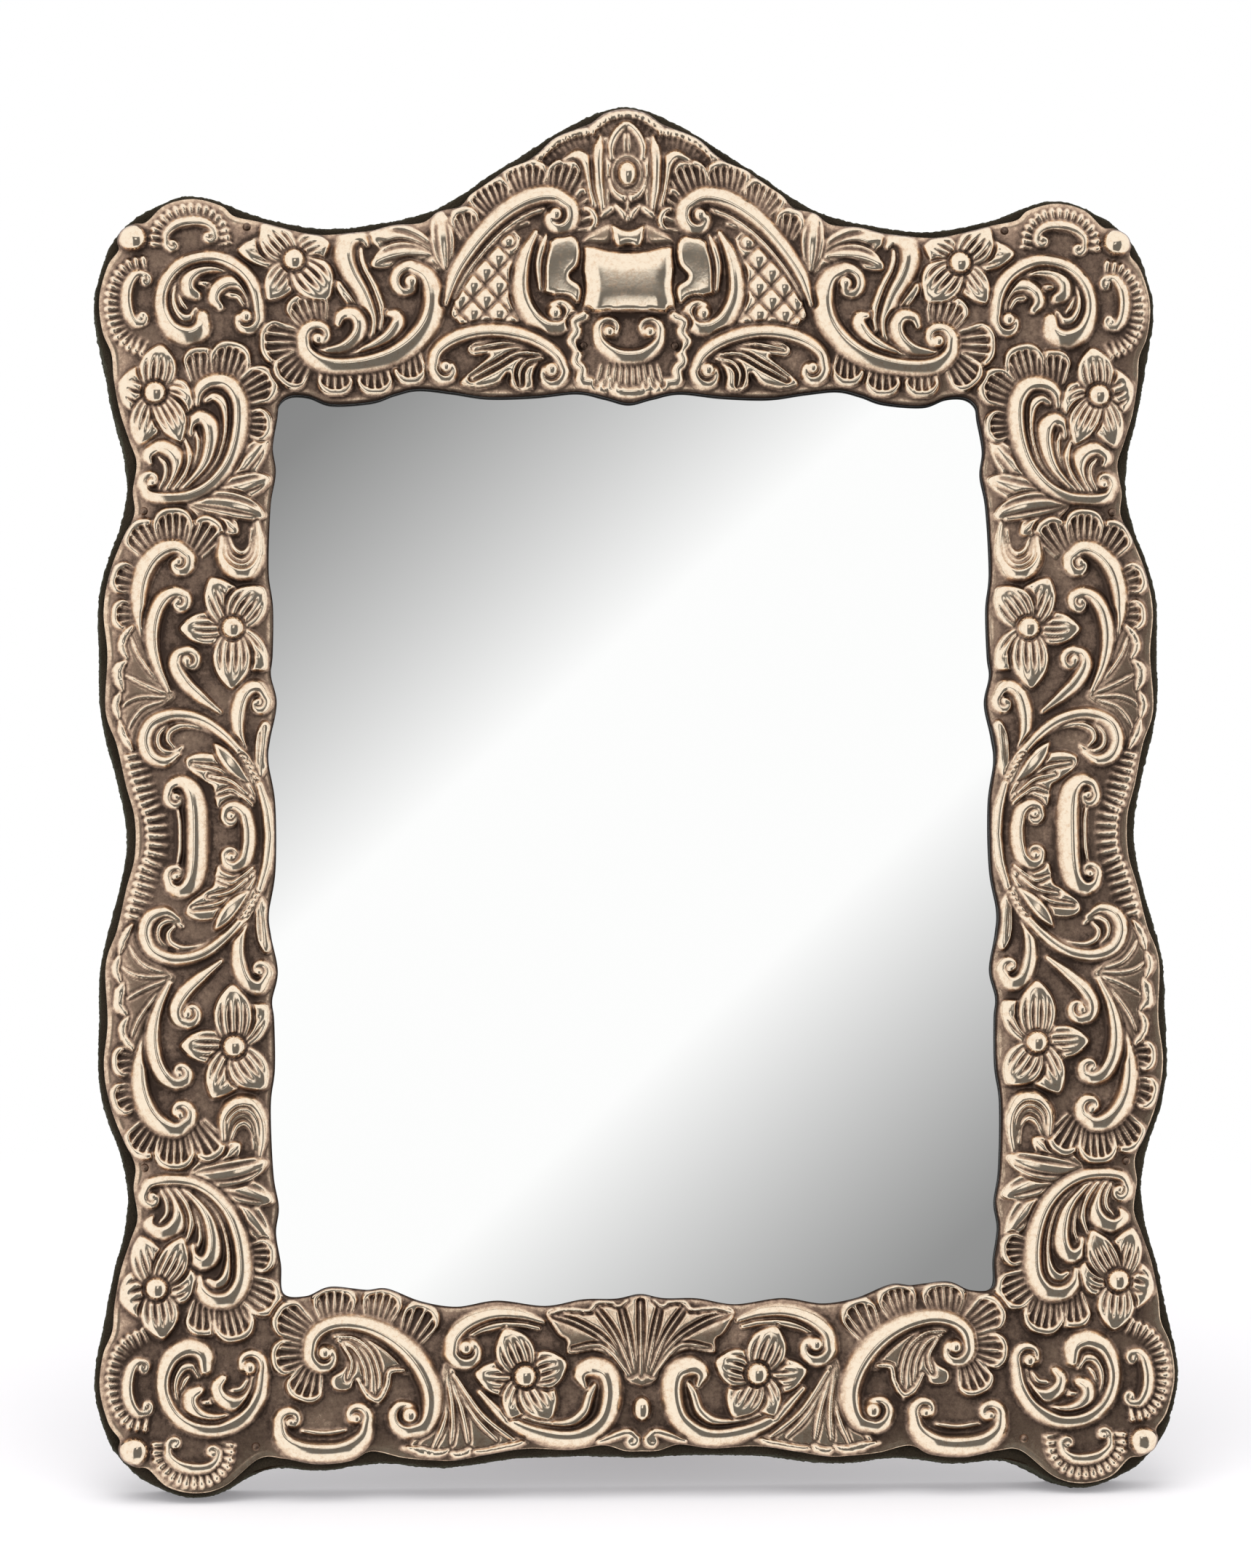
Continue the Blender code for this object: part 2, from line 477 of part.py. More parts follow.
def draw_crest(relief):
    """Palmette with its cabochon, edge flutes, C-scrolls, lattice, cartouche and the scroll under it."""
    relief.band([(-6.4, 293.6), (-3.6, 295.4), (0, 296), (3.6, 295.4), (6.4, 293.6)], 1.1)
    relief.band([(-19, 286.6), (-15.5, 289.8), (-11.5, 291.6), (-7.6, 291.8)], 1.2)
    for base, tip, width in (((-20, 279.5), (-22.6, 285.3), 8.5), ((-13.8, 279), (-11, 284.8), 8),
                             ((-27.8, 275.5), (-31, 280.4), 8), ((-33.6, 270.4), (-36.4, 275), 6),
                             ((-9, 277.5), (-7.6, 269.8), 4)):
        relief.leaf(base, tip, width)
    for column in range(4):
        for row in range(4):
            x = -38.6 + 2.85 * (column + row)
            z = 256.4 + 2.9 * (row - column)
            inside = abs(x + 30.2 - (z - 260) * 0.45) < 6.4 and 251 < z < 268.5
            if inside:
                relief.bead((x, z), 2.2, 2.2, 1)
    relief.pillow((-18.6, 256.8), (-10.6, 268.8), 1.7)
    relief.scroll([(-37, 257.5), (-33, 265.5), (-28, 271.6), (-22, 274.8), (-17.5, 275.6)], (0.5, 0.9, 0.6))
    relief.scroll([(-39.3, 255.5), (-36.6, 263), (-32, 270), (-26.5, 275.6), (-20.5, 278.4), (-14.6, 278.2)],
                  (0.8, 1.6, 1.8), None, (-15.4, 273.8))
    relief.scroll([(-20, 269.4), (-22.2, 264), (-22.6, 258), (-20.8, 252.6), (-17, 249.8)],
                  (0.8, 1.5, 1.7), None, (-15.9, 253.2))
    relief.leaf((-22, 243.8), (-34.8, 237.6), 5.5, pointed=0.6)
    relief.leaf((-21.2, 243.4), (-22.8, 236.4), 3.6)
    relief.scroll([(-15.4, 243), (-20, 245.6), (-27, 246), (-32.5, 245.8), (-33.6, 244.2), (-31.4, 243.6)],
                  (0.5, 0.8, 0.9))
    relief.scroll([(-42.4, 241.5), (-40.8, 245.2), (-35.5, 247.8), (-29, 248.8), (-22, 248), (-16.5, 245.3),
                   (-14, 241.6), (-14.6, 238.2)], (1.3, 1.5, 1.3), (-39.3, 240.3), (-17.2, 239.6))
    relief.scroll([(-12.5, 286.5), (-9.5, 287.8), (-7, 287.3), (-5.8, 284)], (0.5, 1, 0.9))
    relief.scroll([(-4.6, 291), (-5.6, 286), (-5.2, 280), (-5.6, 274.4)], (1, 1.3, 0.7))
    relief.leaf((0, 286), (0, 294.6), 6.4, pointed=0.4)
    relief.bead((0, 283), 3.7, 4.6, 0.8)
    relief.bead((0, 283), 2.5, 3.3, 2)
    relief.scroll([(-5.6, 273.6), (-2.8, 275.8), (0, 273.4), (2.8, 275.8), (5.6, 273.6)], (0.7, 0.9, 0.7))
    relief.leaf((-2.4, 271), (-9.4, 269.2), 3.6)
    relief.bead((0, 270), 3.2, 2.6, 1.3)
    relief.pillow((-9.6, 252.6), (9.6, 266.8), 2)
    relief.scroll([(-12, 238.4), (-8, 237), (-4.6, 237.2), (0, 235.3), (4.6, 237.2)], (0.7, 0.8, 0.7))
    relief.scroll([(-6.7, 249.3), (-5.6, 245.6), (0, 243), (5.6, 245.6), (6.7, 249.3)],
                  (1.2, 1.5, 1.2), (-4, 249.2), (4, 249.2))


def draw_bottom_rail(relief):
    """Leaf volute, C-scroll, fans, the framed flower and the palmette in the middle."""
    for base, tip, width in (((-71.5, 31.5), (-77, 30), 6), ((-71, 36), (-76, 39.2), 7),
                             ((-66, 38.5), (-66.6, 44.6), 7), ((-58.5, 38.5), (-54.4, 44), 7.5),
                             ((-50, 35.5), (-46.8, 41), 6), ((-68.5, 27), (-70.8, 22), 6)):
        relief.leaf(base, tip, width)
    for tip, width in (((-48.5, 11), 4), ((-42.6, 10), 4), ((-38.6, 9.7), 4), ((-34, 10.6), 4),
                       ((-27.6, 12.6), 4)):
        relief.leaf((-40, 25.5), tip, width, pointed=0.4)
    for base, tip, width in (((-64, 35), (-56, 21.4), 6), ((-60, 36), (-48.4, 27.4), 5)):
        relief.leaf(base, tip, width, pointed=0.6)
    relief.scroll([(-75.6, 17.5), (-74.3, 13.2), (-69, 11.2), (-63, 11.5), (-58.2, 14.2), (-57.3, 17.5)],
                  (1.2, 1.6, 1.3), (-73.2, 17), (-59.9, 18.3))
    relief.scroll([(-69.4, 32.2), (-67.4, 36), (-62, 37.6), (-55, 36.8), (-49, 33.6), (-45.4, 28.5),
                   (-44.4, 22.5), (-46, 17.4), (-49.6, 15.2)], (1.4, 1.6, 1.5), (-66, 30.8), (-49.2, 19.2))
    for tip, width in (((-1.7, 41), 3.2), ((-5.4, 41), 3.6), ((-10, 40.4), 4), ((-18.4, 38.6), 5),
                       ((-15.6, 31.6), 4)):
        relief.leaf((-0.9, 24), tip, width, pointed=0.4)
    relief.scroll([(-27, 18.6), (-20, 16.4), (-14.4, 17.6), (-12.2, 20)], (0.4, 0.8, 0.6))
    relief.scroll([(-33, 22), (-28, 17), (-20, 14), (-13, 14), (-8.2, 17.5), (-6.2, 23), (-7.4, 27),
                   (-10.5, 28), (-12.6, 26)], (0.7, 1.4, 1.7))
    relief.scroll([(-20.6, 37.6), (-27, 39.8), (-34, 39.4), (-38.8, 36.2), (-40, 32), (-38.4, 28.8),
                   (-35.8, 28.6)], (0.8, 1.3, 1.4), None, (-36.3, 32.2))
    relief.flower((-24.4, 26.3), [(-28.2, 36), (-17, 31.6), (-33.8, 25.6), (-27.8, 18.2), (-19.4, 17.6)], 8)
    relief.scroll([(-8, 12.4), (-5, 14), (-2.5, 14.5), (-1, 13)], (0.5, 0.8, 0.8), None, (-2.4, 12.8))
    relief.bead((0, 19.2), 2.1, 2.5, 2)


def drawn_relief(sight, outer):
    relief = Relief()
    for relief.flip in (False, True):
        draw_corner(relief)
        draw_side(relief)
    relief.flip = False
    draw_middle(relief)
    draw_top_rail(relief)
    draw_crest(relief)
    draw_bottom_rail(relief)
    for place in PIN_PLACES:
        centre = np.array(place)
        flat = PIN_HEAD_RADIUS * DRAWN_WIDTH / FRAME_WIDTH * 1.6
        area = relief.window(centre - flat, centre + flat)
        near = np.hypot(relief.x[area] - centre[0], relief.z[area] - centre[1]) < flat
        relief.height[area] = np.where(near, 0, relief.height[area])
    relief.edge_dome([sight, outer])
    return relief


# Objects

def collection(name):
    made = bpy.data.collections.new(name)
    bpy.context.scene.collection.children.link(made)
    return made


def empty(name, parent, location=(0, 0, 0), turn=0.0):
    made = bpy.data.objects.new(name, None)
    made.parent = parent
    made.location = location
    made.rotation_euler.x = turn
    made.empty_display_size = 0.02
    PARTS.objects.link(made)
    return made


def material(name, color, roughness, metallic=0.0):
    made = bpy.data.materials.new(name)
    made.use_nodes = True
    shader = made.node_tree.nodes["Principled BSDF"]
    shader.inputs["Base Color"].default_value = (*color, 1)
    shader.inputs["Roughness"].default_value = roughness
    shader.inputs["Metallic"].default_value = metallic
    return made


def add(name, mesh, parent, finish=None, location=(0, 0, 0)):
    """A part with a finish, or a cutter without one."""
    made = bpy.data.objects.new(name, mesh)
    made.parent = parent
    made.location = location
    if finish:
        mesh.materials.append(finish)
        PARTS.objects.link(made)
    else:
        CUTTERS.objects.link(made)
        made.hide_render = True
        made.display_type = "WIRE"
    return made


def extruded(outlines, front, back):
    """A closed mesh from outlines in the plate's plane, the later ones being holes in the first."""
    curve = bpy.data.curves.new("outline", "CURVE")
    curve.dimensions = "2D"
    curve.fill_mode = "BOTH"
    curve.extrude = (back - front) / 2
    for outline in outlines:
        spline = curve.splines.new("POLY")
        spline.points.add(len(outline) - 1)
        for point, (x, z) in zip(spline.points, outline):
            point.co = (x, z, 0, 1)
        spline.use_cyclic_u = True
    holder = bpy.data.objects.new("outline", curve)
    bpy.context.scene.collection.objects.link(holder)
    graph = bpy.context.evaluated_depsgraph_get()
    mesh = bpy.data.meshes.new_from_object(holder.evaluated_get(graph))
    bpy.data.objects.remove(holder)
    bpy.data.curves.remove(curve)
    mesh.transform(Matrix.Translation((0, (front + back) / 2, 0)) @ Matrix.Rotation(math.pi / 2, 4, "X"))
    return welded(mesh)


def welded(mesh):
    shape = bmesh.new()
    shape.from_mesh(mesh)
    bmesh.ops.remove_doubles(shape, verts=shape.verts, dist=1e-6)
    bmesh.ops.recalc_face_normals(shape, faces=shape.faces)
    shape.to_mesh(mesh)
    shape.free()
    return mesh


def block(low, high):
    """A box between two corners."""
    low, high = Vector(low), Vector(high)
    shape = bmesh.new()
    bmesh.ops.create_cube(shape, size=1)
    size = Matrix.Diagonal((high - low).to_4d())
    bmesh.ops.transform(shape, matrix=Matrix.Translation((low + high) / 2) @ size, verts=shape.verts)
    mesh = bpy.data.meshes.new("block")
    shape.to_mesh(mesh)
    shape.free()
    return mesh


def rod(radius, length, axis="X", sides=ROUND_SIDES):
    """A cylinder centred on the origin along X, or along the plate's depth Y."""
    shape = bmesh.new()
    bmesh.ops.create_cone(shape, cap_ends=True, segments=sides, radius1=radius, radius2=radius, depth=length)
    turn = Matrix.Rotation(math.pi / 2, 4, "Y" if axis == "X" else "X")
    bmesh.ops.transform(shape, matrix=turn, verts=shape.verts)
    mesh = bpy.data.meshes.new("rod")
    shape.to_mesh(mesh)
    shape.free()
    return mesh


def turned(name, profile, parent, location, facing, finish=None):
    """A turned piece: a profile of (radius, height) from its head down, its head facing +Y or -Y."""
    mesh = bpy.data.meshes.new(name)
    steps = range(len(profile) - 1)
    mesh.from_pydata([(radius, 0, height) for radius, height in profile], [(i, i + 1) for i in steps], [])
    made = add(name, mesh, parent, finish, location)
    made.rotation_euler.x = -facing * math.pi / 2
    spin = made.modifiers.new("turned", "SCREW")
    spin.steps = spin.render_steps = ROUND_SIDES
    spin.use_merge_vertices = True
    spin.merge_threshold = 0.00001
    spin.use_smooth_shade = False
    return made


def screw_profile(length, play=0.0):
    """A flat countersunk head on a plain shank. A hole for it has some play."""
    head = SCREW_HEAD_RADIUS + play
    shank = SCREW_SHANK_RADIUS + play
    rim = [(head, play)] if play else []
    tip = -length - play
    return [(0, play), *rim, (head, 0), (shank, -SCREW_HEAD_DEPTH - play), (shank, tip), (0, tip)]


def pan_profile(length, play=0.0):
    """A round-headed screw for a turn button: the head stands on the button."""
    shank = SCREW_SHANK_RADIUS + play
    if play:
        return [(0, play), (shank, play), (shank, -length - play), (0, -length - play)]
    dome = BUTTON_SCREW_DOME
    return [(0, dome), (SCREW_HEAD_RADIUS * 0.7, dome * 0.7), (SCREW_HEAD_RADIUS, 0), (shank, 0),
            (shank, -length), (0, -length)]


def pin_profile(play=0.0):
    head = PIN_HEAD_RADIUS
    shank = PIN_SHANK_RADIUS + play
    if play:
        return [(0, head), (shank, head), (shank, -PIN_LENGTH - play), (0, -PIN_LENGTH - play)]
    dome = [(0, head * 0.6), (head * 0.7, head * 0.4), (head, 0)]
    return [*dome, (shank, 0), (shank, -PIN_LENGTH), (0, -PIN_LENGTH)]


def cut(part, *cutters):
    """Cuts with the solver that keeps thin triangles closed, which a change of size can bring."""
    for cutter in cutters:
        part.modifiers.new("cut", "BOOLEAN").object = cutter
        part.modifiers[-1].operation = "DIFFERENCE"
        part.modifiers[-1].solver = "MANIFOLD"


def join(part, *others):
    for other in others:
        part.modifiers.new("join", "BOOLEAN").object = other
        part.modifiers[-1].operation = "UNION"


# The pieces

def make_silver(parent, finish):
    """The pressed front: a ring of faces from the sight edge to the outer edge, closed by a flat back."""
    sight = sight_half(RELIEF_COLUMNS)
    outer = outer_half(RELIEF_COLUMNS)
    relief = drawn_relief(sight, outer)
    inner_loop, outer_loop = whole(sight), whole(outer)
    columns = len(inner_loop)
    share = np.linspace(0, 1, RELIEF_ROWS)[:, None, None]
    grid = inner_loop + (outer_loop - inner_loop) * share
    depth = relief.at(grid[..., 0], grid[..., 1]) * RELIEF_DEPTH / DRAWN_RELIEF
    flat = to_size(grid.reshape(-1, 2)).reshape(grid.shape)
    front = np.dstack([flat[..., 0], -CLEARANCE - SILVER_RIM - depth, flat[..., 1]])
    back = front[[0, -1]].copy()
    back[..., 1] = -CLEARANCE
    points = np.vstack([front.reshape(-1, 3), back.reshape(-1, 3)])
    rows = [np.arange(columns) + columns * row for row in range(RELIEF_ROWS + 2)]
    loop = [rows[-2], *rows[:-2], rows[-1], rows[-2]]
    faces = np.vstack([np.column_stack([a, np.roll(a, -1), np.roll(b, -1), b])
                       for a, b in zip(loop, loop[1:])])
    mesh = bpy.data.meshes.new("silver_mount")
    mesh.from_pydata(points.tolist(), [], faces.tolist())
    made = add("silver_mount", welded(mesh), parent, finish)
    mesh.shade_smooth()
    thin = made.modifiers.new("facets", "DECIMATE")
    thin.ratio = RELIEF_FACETS / (2 * len(faces))
    thin.use_symmetry = True
    thin.symmetry_axis = "X"
    return made, relief


def make_pins(parent, silver, board, relief, finish):
    places = [(side * x, z) for x, z in PIN_PLACES for side in (1, -1)]
    for number, place in enumerate(places, 1):
        height = relief.at(np.array([place[0]]), np.array([place[1]]))[0] * RELIEF_DEPTH / DRAWN_RELIEF
        x, z = to_size([place])[0]
        seat = (x, -2 * CLEARANCE - SILVER_RIM - height, z)
        turned(f"mount_pin_{number:02d}", pin_profile(), parent, seat, -1, finish)
        hole = turned(f"pin_hole_{number:02d}", pin_profile(CLEARANCE), parent, seat, -1)
        cut(silver, hole)
        cut(board, hole)


def board_outlines():
    """Outer edge of the velvet and of the wooden board, which the velvet covers."""
    edge = to_size(whole(outer_half(OUTLINE_POINTS)))
    velvet = grown(softened(edge, 1), VELVET_MARGIN)
    return velvet, grown(velvet, -VELVET_RIM - CLEARANCE)


def sight_box():
    """Half width, bottom and top of the opening in the board, which clears the silver's sight edge."""
    edge = to_size(sight_half(RELIEF_COLUMNS))
    return (-edge[:, 0].min() + SIGHT_REVEAL, edge[:, 1].min() - SIGHT_REVEAL, edge[:, 1].max() + SIGHT_REVEAL)


def widened(box, lap):
    half_width, low, high = box
    return half_width + lap, low - lap, high + lap


def make_board(parent, outline, finish):
    opening = sight_box()
    glass_seat = widened(opening, GLASS_LAP)
    panel_seat = widened(glass_seat, PANEL_LAP)
    plain = extruded([outline, rectangle(*opening, OPENING_CORNER)], 0, BOARD_BACK)
    made = add("frame_board", plain, parent, finish)
    past = BOARD_BACK + CLEARANCE
    for name, seat, front in (("glass_seat", glass_seat, BOARD_LIP),
                              ("panel_seat", panel_seat, PANEL_FRONT - CLEARANCE)):
        cut(made, add(name, extruded([rectangle(*seat, OPENING_CORNER)], front, past), parent))
    return made, widened(glass_seat, -CLEARANCE), widened(panel_seat, -CLEARANCE)


def make_velvet(parent, outline, board_outline, panel, finish):
    """A tray: a rim round the board's edge and a flange on its back, open where the panel is."""
    hole = rectangle(*widened(panel, CLEARANCE), OPENING_CORNER)
    made = add("velvet_cover", extruded([outline, hole], 0, VELVET_BACK), parent, finish)
    well = extruded([grown(board_outline, CLEARANCE)], -CLEARANCE, BOARD_BACK + CLEARANCE)
    cut(made, add("board_space", well, parent))
    return made


def make_filling(parent, glass, panel, finishes):
    """What lies in the rebates: mirror, card, panel and the panel's velvet."""
    small = rectangle(*glass, OPENING_CORNER)
    large = rectangle(*panel, OPENING_CORNER)
    layers = (("mirror_plate", small, GLASS_FRONT, GLASS_FRONT + GLASS_THICKNESS, "mirror"),
              ("packing_card", small, CARD_FRONT, CARD_FRONT + CARD_THICKNESS, "card"),
              ("back_panel", large, PANEL_FRONT, BOARD_BACK, "wood"),
              ("back_panel_velvet", large, BOARD_BACK + CLEARANCE, VELVET_BACK, "velvet"))
    made = [add(name, extruded([outline], front, back), parent, finishes[finish])
            for name, outline, front, back, finish in layers]
    return made[2:]


def button_outline():
    """A tab with round ends, from its screw towards the panel along +X."""
    radius = BUTTON_WIDTH / 2
    run = BUTTON_LENGTH - BUTTON_WIDTH
    turns = [math.pi * (i / ROUND_SIDES - 0.5) for i in range(ROUND_SIDES + 1)]
    far = [(run + radius * math.cos(turn), radius * math.sin(turn)) for turn in turns]
    near = [(-radius * math.cos(turn), -radius * math.sin(turn)) for turn in turns]
    return np.array(far + near)


def make_buttons(parent, board, velvet, panel, finish):
    """Turn buttons on the velvet beside the panel, each with its tab over the panel's edge."""
    front = VELVET_BACK + CLEARANCE
    pivot = panel[0] - BUTTON_REACH + BUTTON_LENGTH - BUTTON_WIDTH / 2
    corners = [(side, BUTTON_MIDDLE + half * BUTTON_SPREAD / 2) for half in (1, -1) for side in (-1, 1)]
    for number, (side, height) in enumerate(corners, 1):
        axis = (side * pivot, 0, height)
        tab = extruded([button_outline() * (-side, 1)], front, front + BUTTON_THICKNESS)
        button = add(f"turn_button_{number}", tab, parent, finish, axis)
        seat = (side * pivot, front + BUTTON_THICKNESS + CLEARANCE, height)
        turned(f"button_screw_{number}", pan_profile(BUTTON_SCREW_LENGTH), parent, seat, 1, finish)
        bore = rod(SCREW_SHANK_RADIUS + HINGE_PIN_PLAY, 4 * VELVET_BACK, "Y")
        cut(button, add(f"button_bore_{number}", bore, parent, None, axis))
        hole = turned(f"button_hole_{number}", pan_profile(BUTTON_SCREW_LENGTH, CLEARANCE), parent, seat, 1)
        cut(board, hole)
        cut(velvet, hole)


def strut_outline(length, spare, margin=0.0):
    """The strut seen from behind, from its hinge axis: head, waist, and a flared foot with an arch."""
    top, waist, foot = (width / 2 + margin for width in (STRUT_TOP_WIDTH, STRUT_WAIST_WIDTH, STRUT_FOOT_WIDTH))
    sides = [(top, STRUT_STOP + margin), (top, -0.05 * length), (waist, -0.4 * length), (foot, -0.93 * length),
             (foot, -length - spare)]
    right = smooth(sides, (top, 2 * STRUT_STOP), (foot, -2 * length), 6)
    turns = [math.pi * i / ROUND_SIDES for i in range(ROUND_SIDES + 1)]
    arch_half = STRUT_ARCH_WIDTH / 2 - margin
    arch_rise = STRUT_ARCH_HEIGHT - margin
    arch = [(arch_half * math.cos(turn), arch_rise * math.sin(turn) - length) for turn in turns]
    toes = [(arch_half, -length - spare), (-arch_half, -length - spare)]
    left = (right * (-1, 1))[::-1]
    return np.vstack([right, toes[:1], arch, toes[1:], left])[::-1]


def make_strut(parent, length, finishes):
    """The strut in its own frame, closed: its inner face lies just behind the hinge's moving leaf."""
    inner = HINGE_SHEET + CLEARANCE - KNUCKLE_RADIUS
    outer = inner + STRUT_THICKNESS
    spare = STRUT_FOOT_WIDTH / 4
    cover = VELVET_THICKNESS + CLEARANCE
    board = add("strut_board", extruded([strut_outline(length, spare)], inner, outer), parent, finishes["wood"])
    tray = extruded([strut_outline(length, spare, cover)], inner, outer + cover)
    velvet = add("strut_velvet", tray, parent, finishes["velvet"])
    well = extruded([strut_outline(length, 2 * spare, CLEARANCE)], inner - CLEARANCE, outer + CLEARANCE)
    cut(velvet, add("strut_space", well, parent))
    half = HINGE_WIDTH / 2 + 2 * CLEARANCE
    low = -KNUCKLE_RADIUS - 2 * CLEARANCE
    reach = STRUT_STOP + 4 * VELVET_THICKNESS
    notch = add("hinge_notch", block((-half, -reach, low), (half, reach + outer, reach)), parent)
    return board, velvet, notch


def knuckle_spans():
    """Start and end of each knuckle along the hinge, with play between them."""
    pitch = HINGE_WIDTH / HINGE_KNUCKLES
    return [(-HINGE_WIDTH / 2 + pitch * i + CLEARANCE / 2, -HINGE_WIDTH / 2 + pitch * (i + 1) - CLEARANCE / 2)
            for i in range(HINGE_KNUCKLES)]


def make_leaf(name, parent, first, up, finish):
    """A hinge leaf in the hinge's frame, with every other knuckle; up is 1 or -1."""
    face = -KNUCKLE_RADIUS
    gap = KNUCKLE_RADIUS + CLEARANCE
    ends = sorted((up * gap, up * HINGE_LEAF))
    half = HINGE_WIDTH / 2
    made = add(name, block((-half, face, ends[0]), (half, face + HINGE_SHEET, ends[1])), parent, finish)
    for number, (low, high) in enumerate(knuckle_spans()[first::2]):
        near, far = sorted((0, up * (gap + HINGE_SHEET)))
        web = add(f"{name}_web_{number}", block((low, face, near), (high, face + HINGE_SHEET, far)), parent)
        middle = ((low + high) / 2, 0, 0)
        barrel = add(f"{name}_barrel_{number}", rod(KNUCKLE_RADIUS, high - low), parent, None, middle)
        join(made, web, barrel)
    bore = add(f"{name}_bore", rod(HINGE_PIN_RADIUS + HINGE_PIN_PLAY, 2 * HINGE_WIDTH), parent)
    cut(made, bore)
    return made


def make_hinge(frame, strut, pieces, finish):
    """Both leaves, the pin and the screws. The frame's hinge empty stands on the hinge axis."""
    axis = empty("hinge_axis", frame, (0, HINGE_DEPTH, HINGE_HEIGHT))
    fixed = make_leaf("hinge_fixed_leaf", axis, 0, 1, finish)
    moving = make_leaf("hinge_moving_leaf", strut, 1, -1, finish)
    add("hinge_pin", rod(HINGE_PIN_RADIUS, HINGE_WIDTH), axis, finish)
    middle = (KNUCKLE_RADIUS + HINGE_LEAF) / 2
    top = HINGE_SHEET - KNUCKLE_RADIUS
    rows = (("panel_screw", axis, top, 1, PANEL_SCREW_LENGTH, (fixed, *pieces["panel"])),
            ("strut_screw", strut, -KNUCKLE_RADIUS, -1, STRUT_SCREW_LENGTH, (moving, pieces["strut"])))
    for name, parent, depth, facing, length, held in rows:
        for number, side in enumerate((-1, 1), 1):
            seat = (side * HINGE_SCREW_SPACING / 2, depth, facing * middle)
            turned(f"{name}_{number}", screw_profile(length), parent, seat, facing, finish)
            profile = screw_profile(length, CLEARANCE / 2)
            hole = turned(f"{name}_hole_{number}", profile, parent, seat, facing)
            for part in held:
                cut(part, hole)


def floor_drop(outline):
    """How far the plate's origin stands above the floor, when the lobes' lower back edges are cut flat."""
    lowest = (outline[:, 1] * math.cos(LEAN) - VELVET_BACK * math.sin(LEAN)).min()
    return -lowest - FOOT_FLAT


def box_of(parts):
    """Lowest and highest corners of the finished parts, in world space."""
    graph = bpy.context.evaluated_depsgraph_get()
    points = []
    for part in parts:
        if part.type == "MESH":
            solid = part.evaluated_get(graph)
            points += [solid.matrix_world @ vertex.co for vertex in solid.data.vertices]
    return [Vector(map(pick, zip(*points))) for pick in (min, max)]


# Depths of the plate's layers, from the front of the board
GLASS_FRONT = BOARD_LIP + CLEARANCE
CARD_FRONT = GLASS_FRONT + GLASS_THICKNESS + CLEARANCE
PANEL_FRONT = CARD_FRONT + CARD_THICKNESS + CLEARANCE
BOARD_BACK = PANEL_FRONT + PANEL_THICKNESS
VELVET_BACK = BOARD_BACK + CLEARANCE + VELVET_THICKNESS
HINGE_DEPTH = VELVET_BACK + CLEARANCE + KNUCKLE_RADIUS

for old in list(bpy.data.objects):
    bpy.data.objects.remove(old)
PARTS = collection("dressing_mirror")
CUTTERS = collection("cutters")


def main():
    finishes = {
        "silver": material("silver", (0.72, 0.66, 0.56), 0.28, 1.0),
        "mirror": material("mirror", (0.86, 0.87, 0.87), 0.02, 1.0),
        "velvet": material("velvet", (0.018, 0.022, 0.016), 0.95),
        "wood": material("wood", (0.28, 0.15, 0.07), 0.6),
        "card": material("card", (0.45, 0.36, 0.24), 0.9),
        "brass": material("brass", (0.72, 0.52, 0.24), 0.35, 1.0),
    }
    velvet_outline, board_outline = board_outlines()
    rise = floor_drop(velvet_outline)
    frame = empty("frame", None, (0, 0, rise), -LEAN)

    board, glass, panel = make_board(frame, board_outline, finishes["wood"])
    velvet = make_velvet(frame, velvet_outline, board_outline, panel, finishes["velvet"])
    panel_pieces = make_filling(frame, glass, panel, finishes)
    silver, relief = make_silver(frame, finishes["silver"])
    make_pins(frame, silver, board, relief, finishes["silver"])
    make_buttons(frame, board, velvet, panel, finishes["brass"])

    strut = empty("strut", frame, (0, HINGE_DEPTH, HINGE_HEIGHT), STRUT_OPEN)
    hinge_rise = rise + HINGE_HEIGHT * math.cos(LEAN) - HINGE_DEPTH * math.sin(LEAN)
    length = hinge_rise / math.cos(STRUT_OPEN - LEAN)
    strut_board, strut_velvet, notch = make_strut(strut, length, finishes)
    make_hinge(frame, strut, {"panel": panel_pieces, "strut": strut_board}, finishes["brass"])

    reach = 2 * FRAME_HEIGHT
    floor = add("floor", block((-reach, -reach, -reach), (reach, reach, 0)), None)
    stop = add("stop_plane", block((-reach, -reach, 0), (reach, VELVET_BACK + CLEARANCE, reach)), frame)
    cut(velvet, floor)
    for part in (strut_board, strut_velvet):
        cut(part, floor, stop, notch)

    low, high = box_of(PARTS.objects)
    frame.location.y -= (low.y + high.y) / 2


main()
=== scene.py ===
"""Looks of an easel-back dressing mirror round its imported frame: pieces, finishes, stage and camera."""

import json
import math

import bmesh
import bpy
import numpy as np
from mathutils import Matrix, Vector


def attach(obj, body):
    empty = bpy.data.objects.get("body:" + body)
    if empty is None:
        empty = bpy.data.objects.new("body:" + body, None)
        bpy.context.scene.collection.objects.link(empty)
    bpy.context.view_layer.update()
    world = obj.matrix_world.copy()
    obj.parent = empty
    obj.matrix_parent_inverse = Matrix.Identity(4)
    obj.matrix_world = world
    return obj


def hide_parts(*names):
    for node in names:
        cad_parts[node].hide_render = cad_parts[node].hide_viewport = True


# The plate, in millimetres: where its layers lie, and the hinge that places it in the frame
GAP = 0.3
SILVER_RIM = 0.8
SILVER_SHEET = 0.35
SIGHT_TURN = 0.3
GLASS_FACE = 0.4
GLASS_REACH = 0.7
PANEL_REACH = 7.1
VELVET_MARGIN = 1.5
VELVET_RIM = 0.7
VELVET_LAP = 3.2
VELVET_BACK = 11.6
FLANGE_FRONT = 10.6
HINGE_DEPTH = 13.5
HINGE_HEIGHT = 178.0

